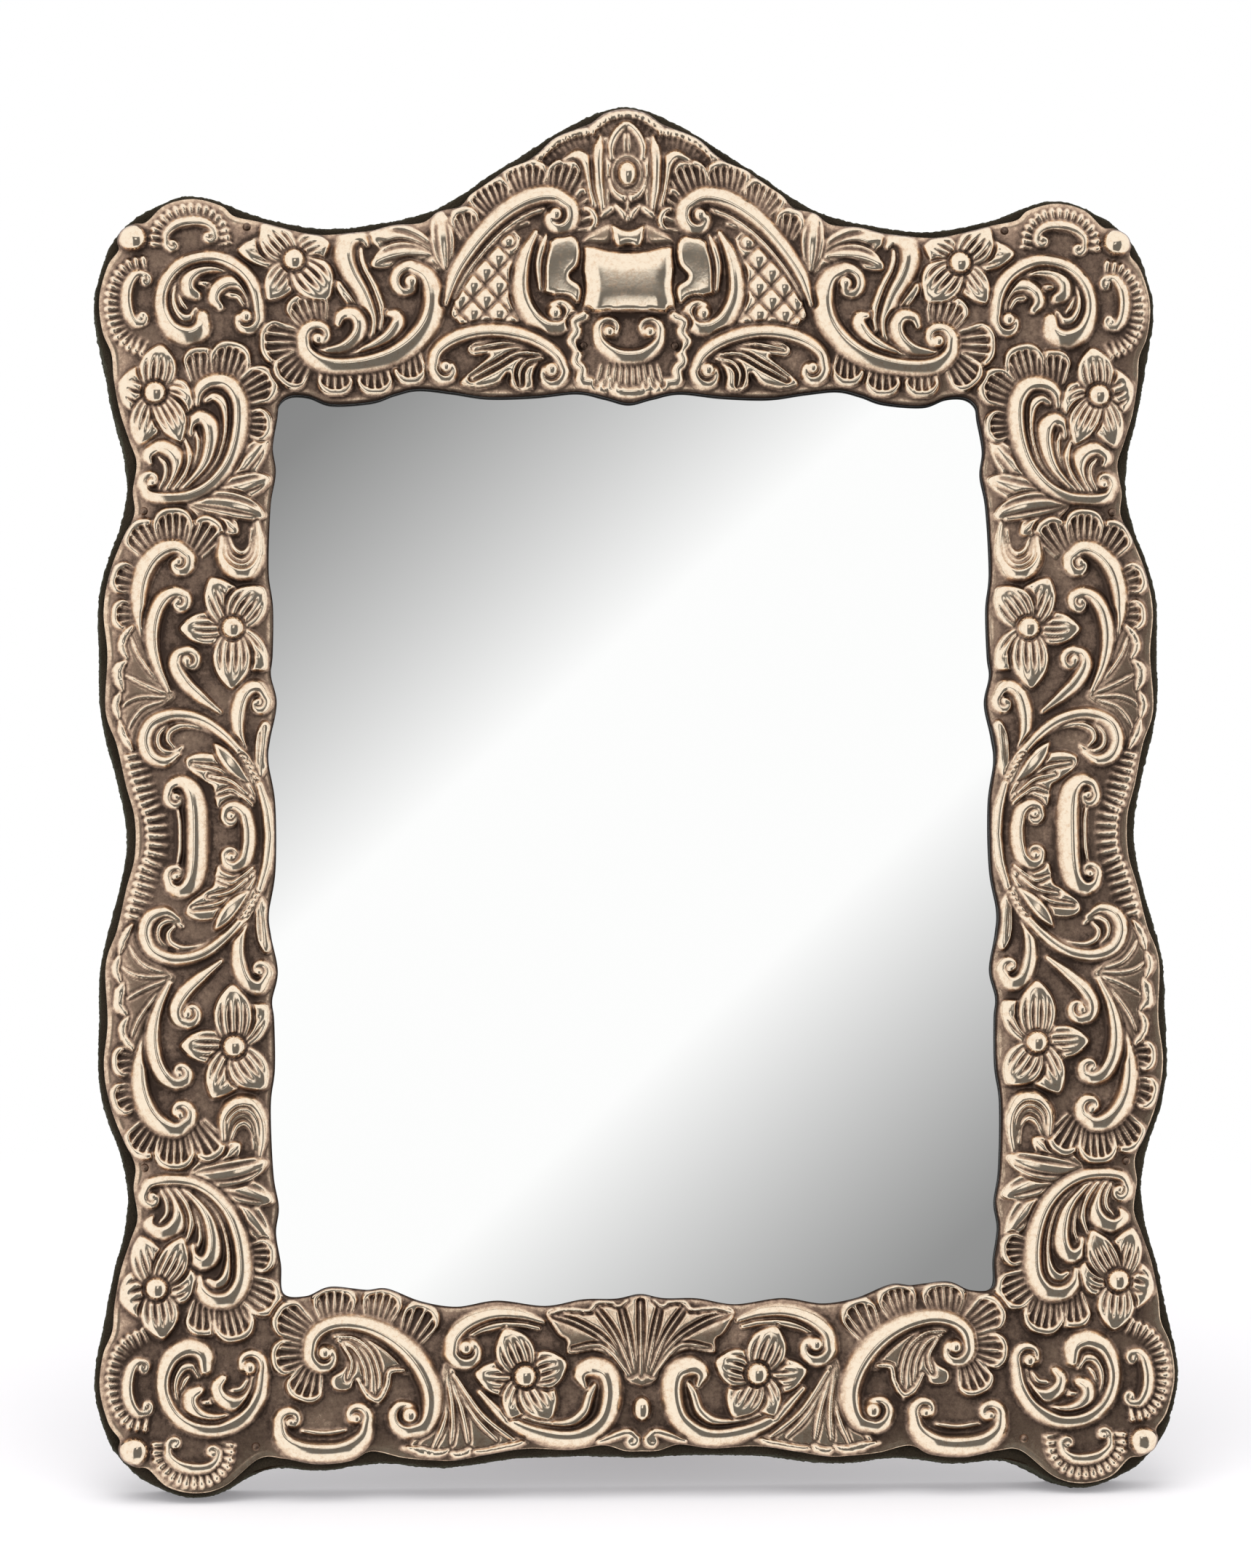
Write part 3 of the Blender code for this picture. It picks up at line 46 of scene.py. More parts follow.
# In metres: bevels of the glass and the cloths, and how far the velvet's inside stays off the floor
GLASS_BEVEL = 0.0002
CLOTH_BEVEL = 0.0004
VELVET_STAND = 0.0005

# Grids: points along half an edge or averaged, rows across the silver, the drawing's step, shares of an edge
COLUMNS = 1500
ROWS = 132
VELVET_COLUMNS = 1300
VELVET_EVENED = 18
BOX_POINTS = 200
STEP = 0.2
TOP_SHARE = 0.27
BOTTOM_SHARE = 0.23

# The relief: the mirror line of its sides, its dome, its fullness, and the painted shade that darkens its
# turned-in edges, its back and a line along its sight edge
MIRROR_LINE = 140.0
DOME_RUN = 9.0
DOME_RISE = 1.1
FULLNESS = 1.22
MOAT_SLOPE = 2.2
# Painted shade: levels above 1 turn the silver near black, on its turned edges and back and in a thin line
# along its sight edge
TURNED_EDGE_SHADE = 2.0
SIGHT_SHADE = 1.25

# The photograph's view, fitted to the outline: angles in radians, metres, and a target on the plate
VIEW_AZIMUTH = -0.0766
VIEW_ELEVATION = 0.10399
VIEW_ROLL = 0.005767
VIEW_DISTANCE = 1.23627
VIEW_TARGET = (-1.6842, 0, 151.285)
FOCAL_PIXELS = 8000
PHOTO_HEIGHT = 2156
SENSOR = 36

# Stage: distances of the two cards, in metres from the object and in millimetres from the plate
DARK_RADIUS = 2.6
MIRROR_VIEW_AWAY = 900.0

# Outline of the silver, left half: from the crest to the middle of the side, and along the bottom
CREST_EDGE = [(0, 297.6), (-4.5, 296.6), (-7.6, 294.4), (-11, 293), (-15.5, 291), (-19, 287.8), (-22, 285.7),
              (-26, 284), (-29.5, 281.4), (-33.5, 278.6), (-36, 276), (-40.5, 274.8), (-44, 272.4)]
TOP_EDGE = [(-50, 271.8), (-56, 270.4), (-66, 269.6), (-73, 270.8), (-79, 272.4), (-84.3, 273.6)]
CORNER_EDGE = [(-87, 275.8), (-93, 277.3), (-99, 275.9), (-103, 272.2), (-105.6, 271.8), (-108.3, 270.3)]
BEAD_EDGE = [(-109.2, 268)]
LOBE_EDGE = [(-108.9, 266), (-111.2, 262.6), (-113, 255.5), (-112.3, 248.5), (-110.4, 243.6)]
SIDE_EDGE = [(-109.9, 238), (-108.6, 231), (-106.6, 224.8), (-105.1, 220), (-105.9, 214), (-105.6, 209),
             (-108.2, 203.4), (-110.9, 196), (-112.1, 188), (-111.3, 179), (-111.7, 167), (-109.3, 159.5),
             (-107.4, 151), (-105.6, 144)]
BOTTOM_EDGE = [(-80, 9.7), (-75, 9.7), (-68, 8.4), (-61, 9), (-56.5, 11), (-50, 9.6), (-44, 9), (-39, 8.9),
               (-33, 9.9), (-24, 11.2), (-15, 10.8), (-8, 11.7), (-3.5, 10.5), (0, 10.4)]

# Sight edge of the silver, left half
SIGHT_TOP = [(0, 233.3), (-5, 234.5), (-11, 235.7), (-20, 234.8), (-30, 234.5), (-38, 235.6), (-45, 236.3),
             (-50, 235.2), (-55, 233.5), (-63.5, 232.9), (-68.5, 234.6), (-72.4, 234.7)]
SIGHT_CORNER = [(-74.7, 233)]
SIGHT_LOW_CORNER = [(-74.7, 44)]
SIGHT_SIDE = [(-75.2, 230), (-76.2, 223.5), (-75.6, 218), (-76.7, 211), (-77.2, 197), (-76.3, 189),
              (-76.4, 179), (-76.8, 174.5), (-75.6, 168.5), (-77, 161), (-77.4, 156), (-76, 147)]
SIGHT_BOTTOM = [(-70, 43.4), (-65, 45.3), (-57.5, 44.6), (-53, 44.8), (-46, 42.1), (-38.5, 40.9), (-30, 42.1),
                (-20, 40.9), (-12, 42.2), (-5, 42.3), (0, 43.2)]

# Where the pins go through plain ground, left half
PIN_PLACES = [(-81.6, 271.2), (-103.6, 209.6), (-103.6, 70.4), (-80.6, 12.2), (-9.8, 245.5)]


# Curves of the drawing

def flipped(points):
    """The same points on the other side of the drawing's mirror line."""
    return [(x, 2 * MIRROR_LINE - z) for x, z in points]


def smooth(points, before, after, per_span=10):
    """A curve through points, with its end tangents set by one point before and one after."""
    knots = np.array([before, *points, after], float)
    spans = []
    for a, b, c, d in zip(knots, knots[1:], knots[2:], knots[3:]):
        t = np.linspace(0, 1, per_span, endpoint=False)[:, None]
        spans.append(b + 0.5 * t * (c - a + t * (2 * a - 5 * b + 4 * c - d + t * (3 * b - a - 3 * c + d))))
    return np.vstack([*spans, knots[-2:-1]])


def run_of(curve):
    """Length along a curve up to each of its points."""
    return np.concatenate([[0], np.cumsum(np.hypot(*np.diff(curve, axis=0).T))])


def evenly(curve, count):
    """count points spaced evenly along a curve, its ends included."""
    length = run_of(curve)
    at = np.linspace(0, length[-1], count)
    return np.column_stack([np.interp(at, length, curve[:, 0]), np.interp(at, length, curve[:, 1])])


def through(points, spacing=0.3):
    """A smooth open curve through points, in small even steps."""
    points = np.asarray(points, float)
    curve = smooth(points, 2 * points[0] - points[1], 2 * points[-1] - points[-2])
    return evenly(curve, max(6, int(run_of(curve)[-1] / spacing)))


def headings(curve):
    along = np.gradient(curve, axis=0)
    return along / np.hypot(*along.T)[:, None]


def turning(curve):
    """1 for a curve that turns left on the whole, -1 for one that turns right."""
    along = headings(curve)
    return math.copysign(1, np.sum(along[:-1, 0] * along[1:, 1] - along[:-1, 1] * along[1:, 0]))


def half_edge(sections, corners, counts):
    """One half of a closed edge from top to bottom, sampled evenly between its two corner points."""
    points = [point for section in sections for point in section]
    mirrored = [(-x, z) for x, z in (points[1], points[-2])]
    curve = smooth(points, *mirrored)
    per_span = (len(curve) - 1) // (len(points) - 1)
    cuts = [0, *(points.index(corner) * per_span for corner in corners), len(curve) - 1]
    return joined([evenly(curve[a:b + 1], n + 1) for a, b, n in zip(cuts, cuts[1:], counts)])


def joined(runs):
    """Runs of points that share their end points, as one run."""
    return np.vstack([runs[0], *(run[1:] for run in runs[1:])])


def section_counts(total):
    """How many spans of a half edge lie along the top, the side and the bottom."""
    top = round(total * TOP_SHARE)
    bottom = round(total * BOTTOM_SHARE)
    return top, total - top - bottom, bottom


def outer_half(total):
    corner = BEAD_EDGE[0]
    low = flipped(BEAD_EDGE)[0]
    upper = [CREST_EDGE, TOP_EDGE, CORNER_EDGE, BEAD_EDGE, LOBE_EDGE, SIDE_EDGE]
    lower = [flipped(section)[::-1] for section in (SIDE_EDGE, LOBE_EDGE, BEAD_EDGE, CORNER_EDGE)]
    return half_edge([*upper, *lower, BOTTOM_EDGE], (corner, low), section_counts(total))


def sight_half(total):
    lower = flipped(SIGHT_SIDE)[::-1]
    sections = [SIGHT_TOP, SIGHT_CORNER, SIGHT_SIDE, lower, SIGHT_LOW_CORNER, SIGHT_BOTTOM]
    return half_edge(sections, (SIGHT_CORNER[0], SIGHT_LOW_CORNER[0]), section_counts(total))


def sight_box(reach):
    """Half width, bottom and top of the box round the sight edge, grown by a reach."""
    edge = sight_half(BOX_POINTS)
    return reach - edge[:, 0].min(), edge[:, 1].min() - reach, edge[:, 1].max() + reach


def whole(half):
    """A closed outline from its left half: down the left side and up the right."""
    return np.vstack([half, (half * (-1, 1))[-2:0:-1]])


# The relief

def ease(value, low, high):
    """0 below low, 1 above high, and a soft step between."""
    t = np.clip((value - low) / (high - low), 0, 1)
    return t * t * (3 - 2 * t)


def hump(value, centre, half):
    """A round ridge of height 1."""
    return np.sqrt(np.clip(1 - ((value - centre) / half) ** 2, 0, 1))


def blurred(field, sigma):
    reach = int(3 * sigma / STEP) + 1
    weights = np.exp(-0.5 * (np.arange(-reach, reach + 1) * STEP / sigma) ** 2)
    weights /= weights.sum()
    for _ in range(2):
        padded = np.pad(field, ((reach, reach), (0, 0)), mode="edge")
        field = sum(weight * padded[i:i + len(field)] for i, weight in enumerate(weights)).T
    return field


def volute(path, eye, inner, turns=0.85):
    """Points that wind on from the end of a path round an eye, drawing in to a share of its distance."""
    arm = path[-1] - eye
    heading = path[-1] - path[-2]
    sense = np.sign(arm[0] * heading[1] - arm[1] * heading[0])
    part = np.linspace(0, 1, 60)[1:]
    angle = math.atan2(arm[1], arm[0]) + sense * math.tau * turns * part
    radius = np.hypot(*arm) * (1 - (1 - inner) * part)
    return eye + radius[:, None] * np.column_stack([np.cos(angle), np.sin(angle)])


class Relief:
    """Height and stain of the left half of the front over its drawing, pressed one motif at a time."""

    def __init__(self):
        self.xs = np.arange(-116, 15, STEP)
        self.zs = np.arange(-2, 301, STEP)
        self.x, self.z = np.meshgrid(self.xs, self.zs, indexing="ij")
        self.height = np.zeros_like(self.x)
        self.stain = np.zeros_like(self.x)
        self.flip = False

    def place(self, points):
        return np.array(flipped(points) if self.flip else points, float)

    def window(self, low, high):
        """The part of the grid between two corners."""
        return (slice(*np.searchsorted(self.xs, (low[0], high[0]))),
                slice(*np.searchsorted(self.zs, (low[1], high[1]))))

    def follow(self, path, wide, reach):
        """For the grid near a path: distance and offset in half widths, length along it, half width."""
        along = headings(path)
        run = run_of(path)
        area = self.window(path.min(0) - reach, path.max(0) + reach)
        found = np.full((4, *self.x[area].shape), np.inf)
        found[1:] = 1
        for start in range(0, len(path), 8):
            part = slice(start, start + 8)
            near, tangent, half = path[part], along[part], wide[part]
            spot = self.window(near.min(0) - reach, near.max(0) + reach)
            dx = self.x[spot][..., None] - near[:, 0]
            dz = self.z[spot][..., None] - near[:, 1]
            away = np.hypot(dx, dz) / half
            pick = away.argmin(-1)[..., None]
            aside = (tangent[:, 0] * dz - tangent[:, 1] * dx) / half
            length = run[part] + tangent[:, 0] * dx + tangent[:, 1] * dz
            values = [np.take_along_axis(value, pick, -1)[..., 0] for value in (away, aside, length)]
            values.append(half[pick[..., 0]])
            local = tuple(slice(s.start - a.start, s.stop - a.start) for s, a in zip(spot, area))
            nearer = values[0] < found[0][local]
            for layer, value in zip(found, values):
                layer[local] = np.where(nearer, value, layer[local])
        return area, found

    def press(self, area, beyond, shape, moat=0.6, stain=0.0):
        """Sets the shape inside a motif and cuts a groove round it; beyond is the way out from its edge."""
        old = self.height[area]
        old = np.where(beyond < moat, np.minimum(old, np.maximum(beyond, 0) * MOAT_SLOPE), old)
        self.height[area] = np.where(beyond < 0, shape, old)
        self.stain[area] = np.where(beyond < 0, stain, self.stain[area])

    def stroke(self, path, wide, rise=1.0, inside=0, grooves=()):
        """A ridge along a path, its crest towards its inside, with grooves at shares of its half width."""
        area, (ratio, aside, _, width) = self.follow(path, wide, wide.max() + 1.2)
        crest = 0.3 * inside
        side = aside - crest
        across = np.abs(side) / np.where(side * inside > 0, 1 - abs(crest), 1 + abs(crest))
        past_end = np.sqrt(np.clip(ratio ** 2 - aside ** 2, 0, None))
        across = np.hypot(across, past_end * (past_end > 0.15))
        shape = 0.25 + rise * (0.3 + 0.65 * width) * np.clip(1 - across ** 1.7, 0, 1)
        for place in grooves:
            shape = shape * (1 - 0.6 * np.exp(-((aside - place) * width / 0.3) ** 2))
        stain = 0.14 * ease(side * inside, 0.02, 0.3) * ease(width, 0.5, 1)
        self.press(area, (ratio - 1) * width, shape, stain=stain)

    def scroll(self, points, widths, start_eye=None, end_eye=None, grooves=None, rise=1.0):
        """A ridge through points, with its half width at each, curled round its eyes."""
        points = self.place(points)
        body = through(points)
        chords = run_of(points)
        widths = np.array(widths) * FULLNESS
        wide = np.interp(np.linspace(0, 1, len(body)), chords / chords[-1], widths)
        inside = turning(body)
        path = body
        balls = []
        for eye, ending in ((start_eye, False), (end_eye, True)):
            if not eye:
                continue
            centre = self.place([eye])[0]
            last = widths[-1 if ending else 0]
            arm = np.hypot(*(body[-1 if ending else 0] - centre))
            ball = 0.8 * max(0.5 * arm, arm - 0.8 * last)
            tail = volute(body if ending else body[::-1], centre, 0.35 * ball / arm)
            taper = np.interp(np.linspace(0, 1, len(tail)), (0, 0.6, 1), (last, 0.55 * last, ball))
            path = np.vstack([path, tail] if ending else [tail[::-1], path])
            wide = np.concatenate([wide, taper] if ending else [taper[::-1], wide])
            balls.append((tail[-1], ball))
        crest_side = inside if grooves is None else 0
        self.stroke(path, wide, rise, crest_side, [inside * place for place in grooves or ()])
        for centre, size in balls:
            area = self.window(centre - size, centre + size)
            away = np.hypot(self.x[area] - centre[0], self.z[area] - centre[1]) / size
            self.height[area] = np.maximum(self.height[area], (0.5 + 0.9 * size) * hump(away, 0, 1))

    def bead(self, centre, across, up, rise):
        """A round or oval dome."""
        centre = self.place([centre])[0]
        reach = max(across, up) + 1.3
        area = self.window(centre - reach, centre + reach)
        ratio = np.hypot((self.x[area] - centre[0]) / across, (self.z[area] - centre[1]) / up)
        self.press(area, (ratio - 1) * min(across, up), 0.15 + rise * hump(ratio, 0, 1))

    def cell(self, base, tip, wide, bend):
        """For the grid round a leaf: share of the way to its tip, offset from its spine, and its length."""
        base, tip = self.place([base, tip])
        axis = tip - base
        length = np.hypot(*axis)
        axis /= length
        reach = wide * 0.75 + abs(bend) * length
        area = self.window(np.minimum(base, tip) - reach, np.maximum(base, tip) + reach)
        x, z = self.x[area] - base[0], self.z[area] - base[1]
        u = (x * axis[0] + z * axis[1]) / length
        v = (z * axis[0] - x * axis[1]) * (-1 if self.flip else 1)
        return area, u, v - bend * length * 4 * u * (1 - u), length

    def flutes(self, cells):
        """Deep hollows as (base, tip, width, ribs), each with a raised rim and ribs down to its base."""
        foot, rim, rise = 0.6, 1.7, 1.35
        for base, tip, wide, ribs in cells:
            area, u, v, length = self.cell(base, tip, wide, 0)
            half = wide / 2 * (foot + (1 - foot) * np.clip(u / 0.6, 0, 1))
            cap = np.clip((u - 0.45) / 0.55, 0, None)
            ratio = np.where(u > 0, (np.abs(v / half) ** 2.6 + cap ** 2.6) ** (1 / 2.6), 9)
            inward = (1 - ratio) * np.minimum(half, length * 0.55)
            thick = rim * (0.35 + 0.65 * ease(u, 0.35, 0.85))
            edge = hump(inward, thick / 2, thick / 2) * (0.35 + 0.65 * ease(u, 0.2, 0.75))
            rib = np.clip(np.cos(math.pi * ribs * v / half), 0, 1) ** 1.3 * ease(inward, 0, thick * 0.6)
            shape = 0.05 + rise * np.maximum(edge, rib * (0.3 + 0.55 * ease(u, 0.2, 0.9)))
            stain = 0.3 * ease(inward, thick * 0.6, thick) * (1 - rib)
            self.press(area, (ratio - 1) * half, shape, 0.4, stain)

    def petal(self, base, tip, wide, ribs=4, bend=0.0, blunt=0.12, rise=1.4, fade=(0.45, 0.8), deep=0.6):
        """A petal or leaf with a flat back, a round edge, and grooves that fade towards its tip."""
        area, u, v, length = self.cell(base, tip, wide, bend)
        t = np.clip(u, 1e-4, 1 - 1e-4)
        sharp = 3.0 * t ** 0.75 * (1 - t) ** 0.85
        round_end = 1.1 * t ** 0.45 * (1 - t ** 5) ** 0.5
        half = np.maximum(wide / 2 * (sharp + (round_end - sharp) * blunt), 0.05)
        beyond = np.maximum(np.abs(v) - half, np.maximum(u - 1, -u) * length)
        inward = np.minimum((half - np.abs(v)) * 0.9, (1 - t) * length * 0.8)
        bevel = np.minimum(1.9, 0.24 * wide)
        body = hump(np.minimum(inward, bevel), bevel, bevel) * (0.6 + 0.4 * ease(t, 0.1, 0.6))
        groove = np.clip(-np.cos(math.pi * ribs * v / half), 0, 1) ** 1.5 * ease(inward, 0.1, 0.9)
        groove = groove * (1 - ease(u, *fade))
        shape = 0.15 + rise * body * (1 - deep * groove)
        field = ease(inward, bevel * 0.8, bevel * 1.1)
        self.press(area, beyond, shape, 0.5, stain=0.1 * field + 0.4 * groove)

    def flower(self, centre, petals):
        """Petals as (tip, width, bend) round a ball."""
        heart = 2.6
        for tip, wide, bend in petals:
            self.petal(centre, tip, 0.84 * wide, 5, bend, deep=0.75)
        self.bead(centre, heart, heart, 2.3)

    def teeth(self, points, pitch, ribs=3.0, bulb=1.15, rise=1.15, out=1, joined=False):
        """A row of bulbs along a path, or one notched rim, with ribs towards the inside of the curve."""
        path = through(self.place(points))
        outside = -turning(path) * out
        area, (away, aside, length, _) = self.follow(path, np.ones(len(path)), ribs + 1)
        out = aside * outside
        across = (length / pitch - np.round(length / pitch)) * pitch
        deep = np.clip(-out / ribs, 0, 1)
        if joined:
            notch = np.exp(-((np.abs(across) - pitch / 2) / 0.16) ** 2)
            shape = hump(out, 0, bulb) * (1 - 0.45 * notch)
            shape = np.maximum(shape, 0.4 * hump(across, 0, pitch * 0.22) * (1 - deep) * (out < 0))
        else:
            half = pitch * (0.46 - 0.28 * deep)
            round_end = np.hypot(across / half, np.clip(out, 0, None) / bulb)
            shape = hump(round_end, 0, 1) * (1 - 0.85 * deep ** 0.7)
        whole_run = (length > -pitch / 2) & (length < run_of(path)[-1] + pitch / 2)
        inside = whole_run & (out > -ribs) & (out < bulb) & (away < ribs)
        shape = shape * (0.8 + 0.4 * self.rough(area))
        self.height[area] = np.where(inside, 0.05 + rise * shape, self.height[area])
        self.stain[area] = np.where(inside, 0.3 * (1 - ease(shape, 0.1, 0.6)), self.stain[area])

    def rough(self, area):
        """An uneven value from 0 to 1 over part of the grid."""
        x, z = self.x[area], self.z[area]
        return 0.5 + 0.5 * np.sin(3.1 * x + 2 * np.sin(2.3 * z)) * np.sin(2.7 * z + 1.3 * np.sin(1.9 * x))

    def frill(self, points, half, rise=1.3):
        """A rough rolled edge through points."""
        path = through(self.place(points))
        wide = half * np.interp(np.linspace(0, 1, len(path)), (0, 0.25, 0.75, 1), (0.5, 1, 1, 0.5))
        area, (ratio, _, _, width) = self.follow(path, wide, half + 1.2)
        ratio = ratio * (0.85 + 0.35 * self.rough(area))
        shape = 0.15 + rise * hump(ratio, 0, 1) * (0.7 + 0.3 * self.rough(area))
        self.press(area, (ratio - 1) * width, shape, 0.3, stain=0.08)

    def ridges(self, lines, half=0.4, rise=1.0):
        """Thin ridges through points."""
        for points in lines:
            path = through(self.place(points))
            wide = half * np.interp(np.linspace(0, 1, len(path)), (0, 0.3, 0.8, 1), (0.6, 1, 1, 0.6))
            self.stroke(path, wide, rise)

    def plaque(self, points, rise, bevel, low=-9.0, stain=0.0, lean=0.0):
        """A raised field inside a closed outline, with a round bevel, that may lean or end at a height."""
        points = self.place(points)
        edge = evenly(smooth(points, points[-1], points[0], 8), 12 * len(points))
        edge = np.vstack([edge, evenly(np.vstack([points[-1], points[0]]), 12)])
        area, (away, _, _, _) = self.follow(edge, np.ones(len(edge)), bevel + 1.2)
        inside = self.within(area, edge) & (self.z[area] > low)
        inward = np.minimum(np.where(np.isfinite(away), away, bevel), bevel)
        low_side = points[:, 1].max() if lean > 0 else points[:, 1].min()
        shape = 0.15 + rise * hump(inward, bevel, bevel) + lean * (low_side - self.z[area])
        self.press(area, np.where(inside, -1, away + 9 * (self.z[area] < low)), shape, stain=stain)

    def within(self, area, outline):
        """Which grid points of an area lie inside a closed outline."""
        x, z = self.x[area], self.z[area]
        inside = np.zeros(x.shape, bool)
        for (ax, az), (bx, bz) in zip(outline, np.roll(outline, -1, axis=0)):
            if az == bz:
                continue
            crosses = (az > z) != (bz > z)
            inside ^= crosses & (x < ax + (z - az) * (bx - ax) / (bz - az))
        return inside

    def finish(self, edges):
        """Flat seats for the pins, a low dome that runs out at the edges with a small lip, tarnish, and a
        painted shadow line along the sight edge.
        """
        for place in PIN_PLACES:
            centre = np.array(place)
            area = self.window(centre - 2, centre + 2)
            away = np.hypot(self.x[area] - centre[0], self.z[area] - centre[1])
            self.height[area] *= ease(away, 1.2, 1.7)
        distance = np.full(self.x.shape, DOME_RUN)
        for edge in edges:
            area, (ratio, _, _, _) = self.follow(edge, np.ones(len(edge)), DOME_RUN)
            distance[area] = np.minimum(distance[area], ratio)
            if edge is edges[0]:
                # Painted shadow: a thin dark line along the sight edge, where the silver meets the mirror
                sight_shadow = 1 - ease(distance, 0.2, 0.55)
        share = distance / DOME_RUN
        motif = self.height * np.clip(share * 14, 0, 1) + 0.14 * hump(distance, 0.6, 0.6)
        motif = blurred(motif, 0.17)
        hollow = np.clip(blurred(motif, 0.6) - motif, -0.2, 1)
        hollow = hollow + 0.45 * np.clip(blurred(motif, 1.8) - motif, -0.3, 1)
        ground = np.exp(-np.clip(motif, 0, None) / 0.3)
        flank = ease(np.hypot(*np.gradient(blurred(motif, 0.25), STEP)), 0.2, 1.3)
        margin = 1 - ease(distance, 1, 4)
        base = 0.08 + 1.0 * hollow + (0.44 - 0.2 * margin) * ground + 0.3 * flank + blurred(self.stain, 0.2)
        # Tarnish of hollows, flanks and ground, with the painted shadow line along the sight edge set above 1
        self.tarnish_and_shade = np.clip(base, 0, 1) * (1 - sight_shadow) + SIGHT_SHADE * sight_shadow
        self.height = motif + 0.35 * blurred(motif, 2.2) + DOME_RISE * share * (2 - share)

    def at(self, field, x, z):
        """A field of the drawing at points on its left or right."""
        column = (-np.abs(x) - self.xs[0]) / STEP
        row = (z - self.zs[0]) / STEP
        i = np.clip(column.astype(int), 0, len(self.xs) - 2)
        j = np.clip(row.astype(int), 0, len(self.zs) - 2)
        a, b = column - i, row - j
        return ((1 - a) * (1 - b) * field[i, j] + a * (1 - b) * field[i + 1, j]
                + (1 - a) * b * field[i, j + 1] + a * b * field[i + 1, j + 1])


def draw_corner(r):
    """Two gadrooned lobes with a C-scroll in each, a bead between them, and the large hooked volute."""
    r.teeth([(-101.6, 267.2), (-101.2, 270.6), (-99, 273.4), (-96.2, 274.9), (-93, 275.4), (-90, 274.8),
             (-87.7, 273.2), (-86.2, 270.8), (-85.7, 268)], 1.62, 3, 1)
    r.teeth([(-103.6, 263.8), (-106.8, 263.1), (-109.2, 260.8), (-110.6, 257.6), (-111.1, 254.4),
             (-110.7, 250.8), (-109.5, 247.6), (-107.3, 245.2), (-104.4, 243.8)], 1.62, 3, 1)
    r.bead((-105.9, 268.5), 3.1, 2.9, 2.2)
    r.scroll([(-98.9, 267.6), (-98.7, 269.6), (-96.8, 271.4), (-94, 272.2), (-91, 272.1), (-88.9, 270.9),
              (-88.2, 269.2)], (0.65, 0.9, 1.1, 1.2, 1.1, 0.9, 0.65), (-97.3, 267.2), (-89.8, 269))
    r.scroll([(-103.2, 260.7), (-105.2, 260.6), (-106.8, 258.2), (-107.2, 255), (-106.6, 251.8),
              (-105.4, 250), (-103.9, 249.8)], (0.6, 1, 1.3, 1.3, 1.2, 0.9, 0.6), (-103.4, 259.2),
             (-104.1, 251.3))
    # Inner scrolls of the large volute
    r.ridges([[(-87, 257.2), (-85.4, 256.2), (-83.6, 255.8), (-82.4, 254)],
              [(-92.4, 258.6), (-90, 258.4), (-88.8, 256.4)], [(-95.6, 258), (-95.8, 255), (-94.6, 253.2)]],
             0.8)
    r.scroll([(-96.2, 260.8), (-97.7, 257.4), (-97.5, 253.8), (-95.9, 251.3), (-93.7, 251.1), (-92.4, 253)],
             (0.4, 1, 1.1, 1.1, 0.9, 0.5))
    r.scroll([(-80.6, 257.8), (-83.4, 260.9), (-87.6, 262.2), (-91.6, 261.8), (-94, 259.6), (-94.1, 257.2),
              (-92.4, 256)], (0.6, 1, 1.3, 1.6, 1.7, 1.6, 1.1))
    r.scroll([(-80.8, 252.6), (-80.7, 255.8), (-82.6, 258.3), (-85.6, 258.9), (-88, 257.4), (-88.6, 255.2),
              (-87.4, 253.6)], (0.7, 1.2, 1.5, 1.6, 1.6, 1.3, 0.9))
    r.scroll([(-91, 251.6), (-91.4, 248.6), (-94.2, 247.2), (-97.8, 248.8), (-99.7, 252.8), (-99.6, 257),
              (-97.4, 261.2), (-93.4, 263.8), (-88, 264.2), (-82.8, 261.6), (-79.8, 257.2), (-79, 252)],
             (1.3, 1.9, 2, 1.8, 1.5, 1.4, 1.4, 1.4, 1.4, 1.5, 1.5, 1.2), None, (-82.1, 250.9))


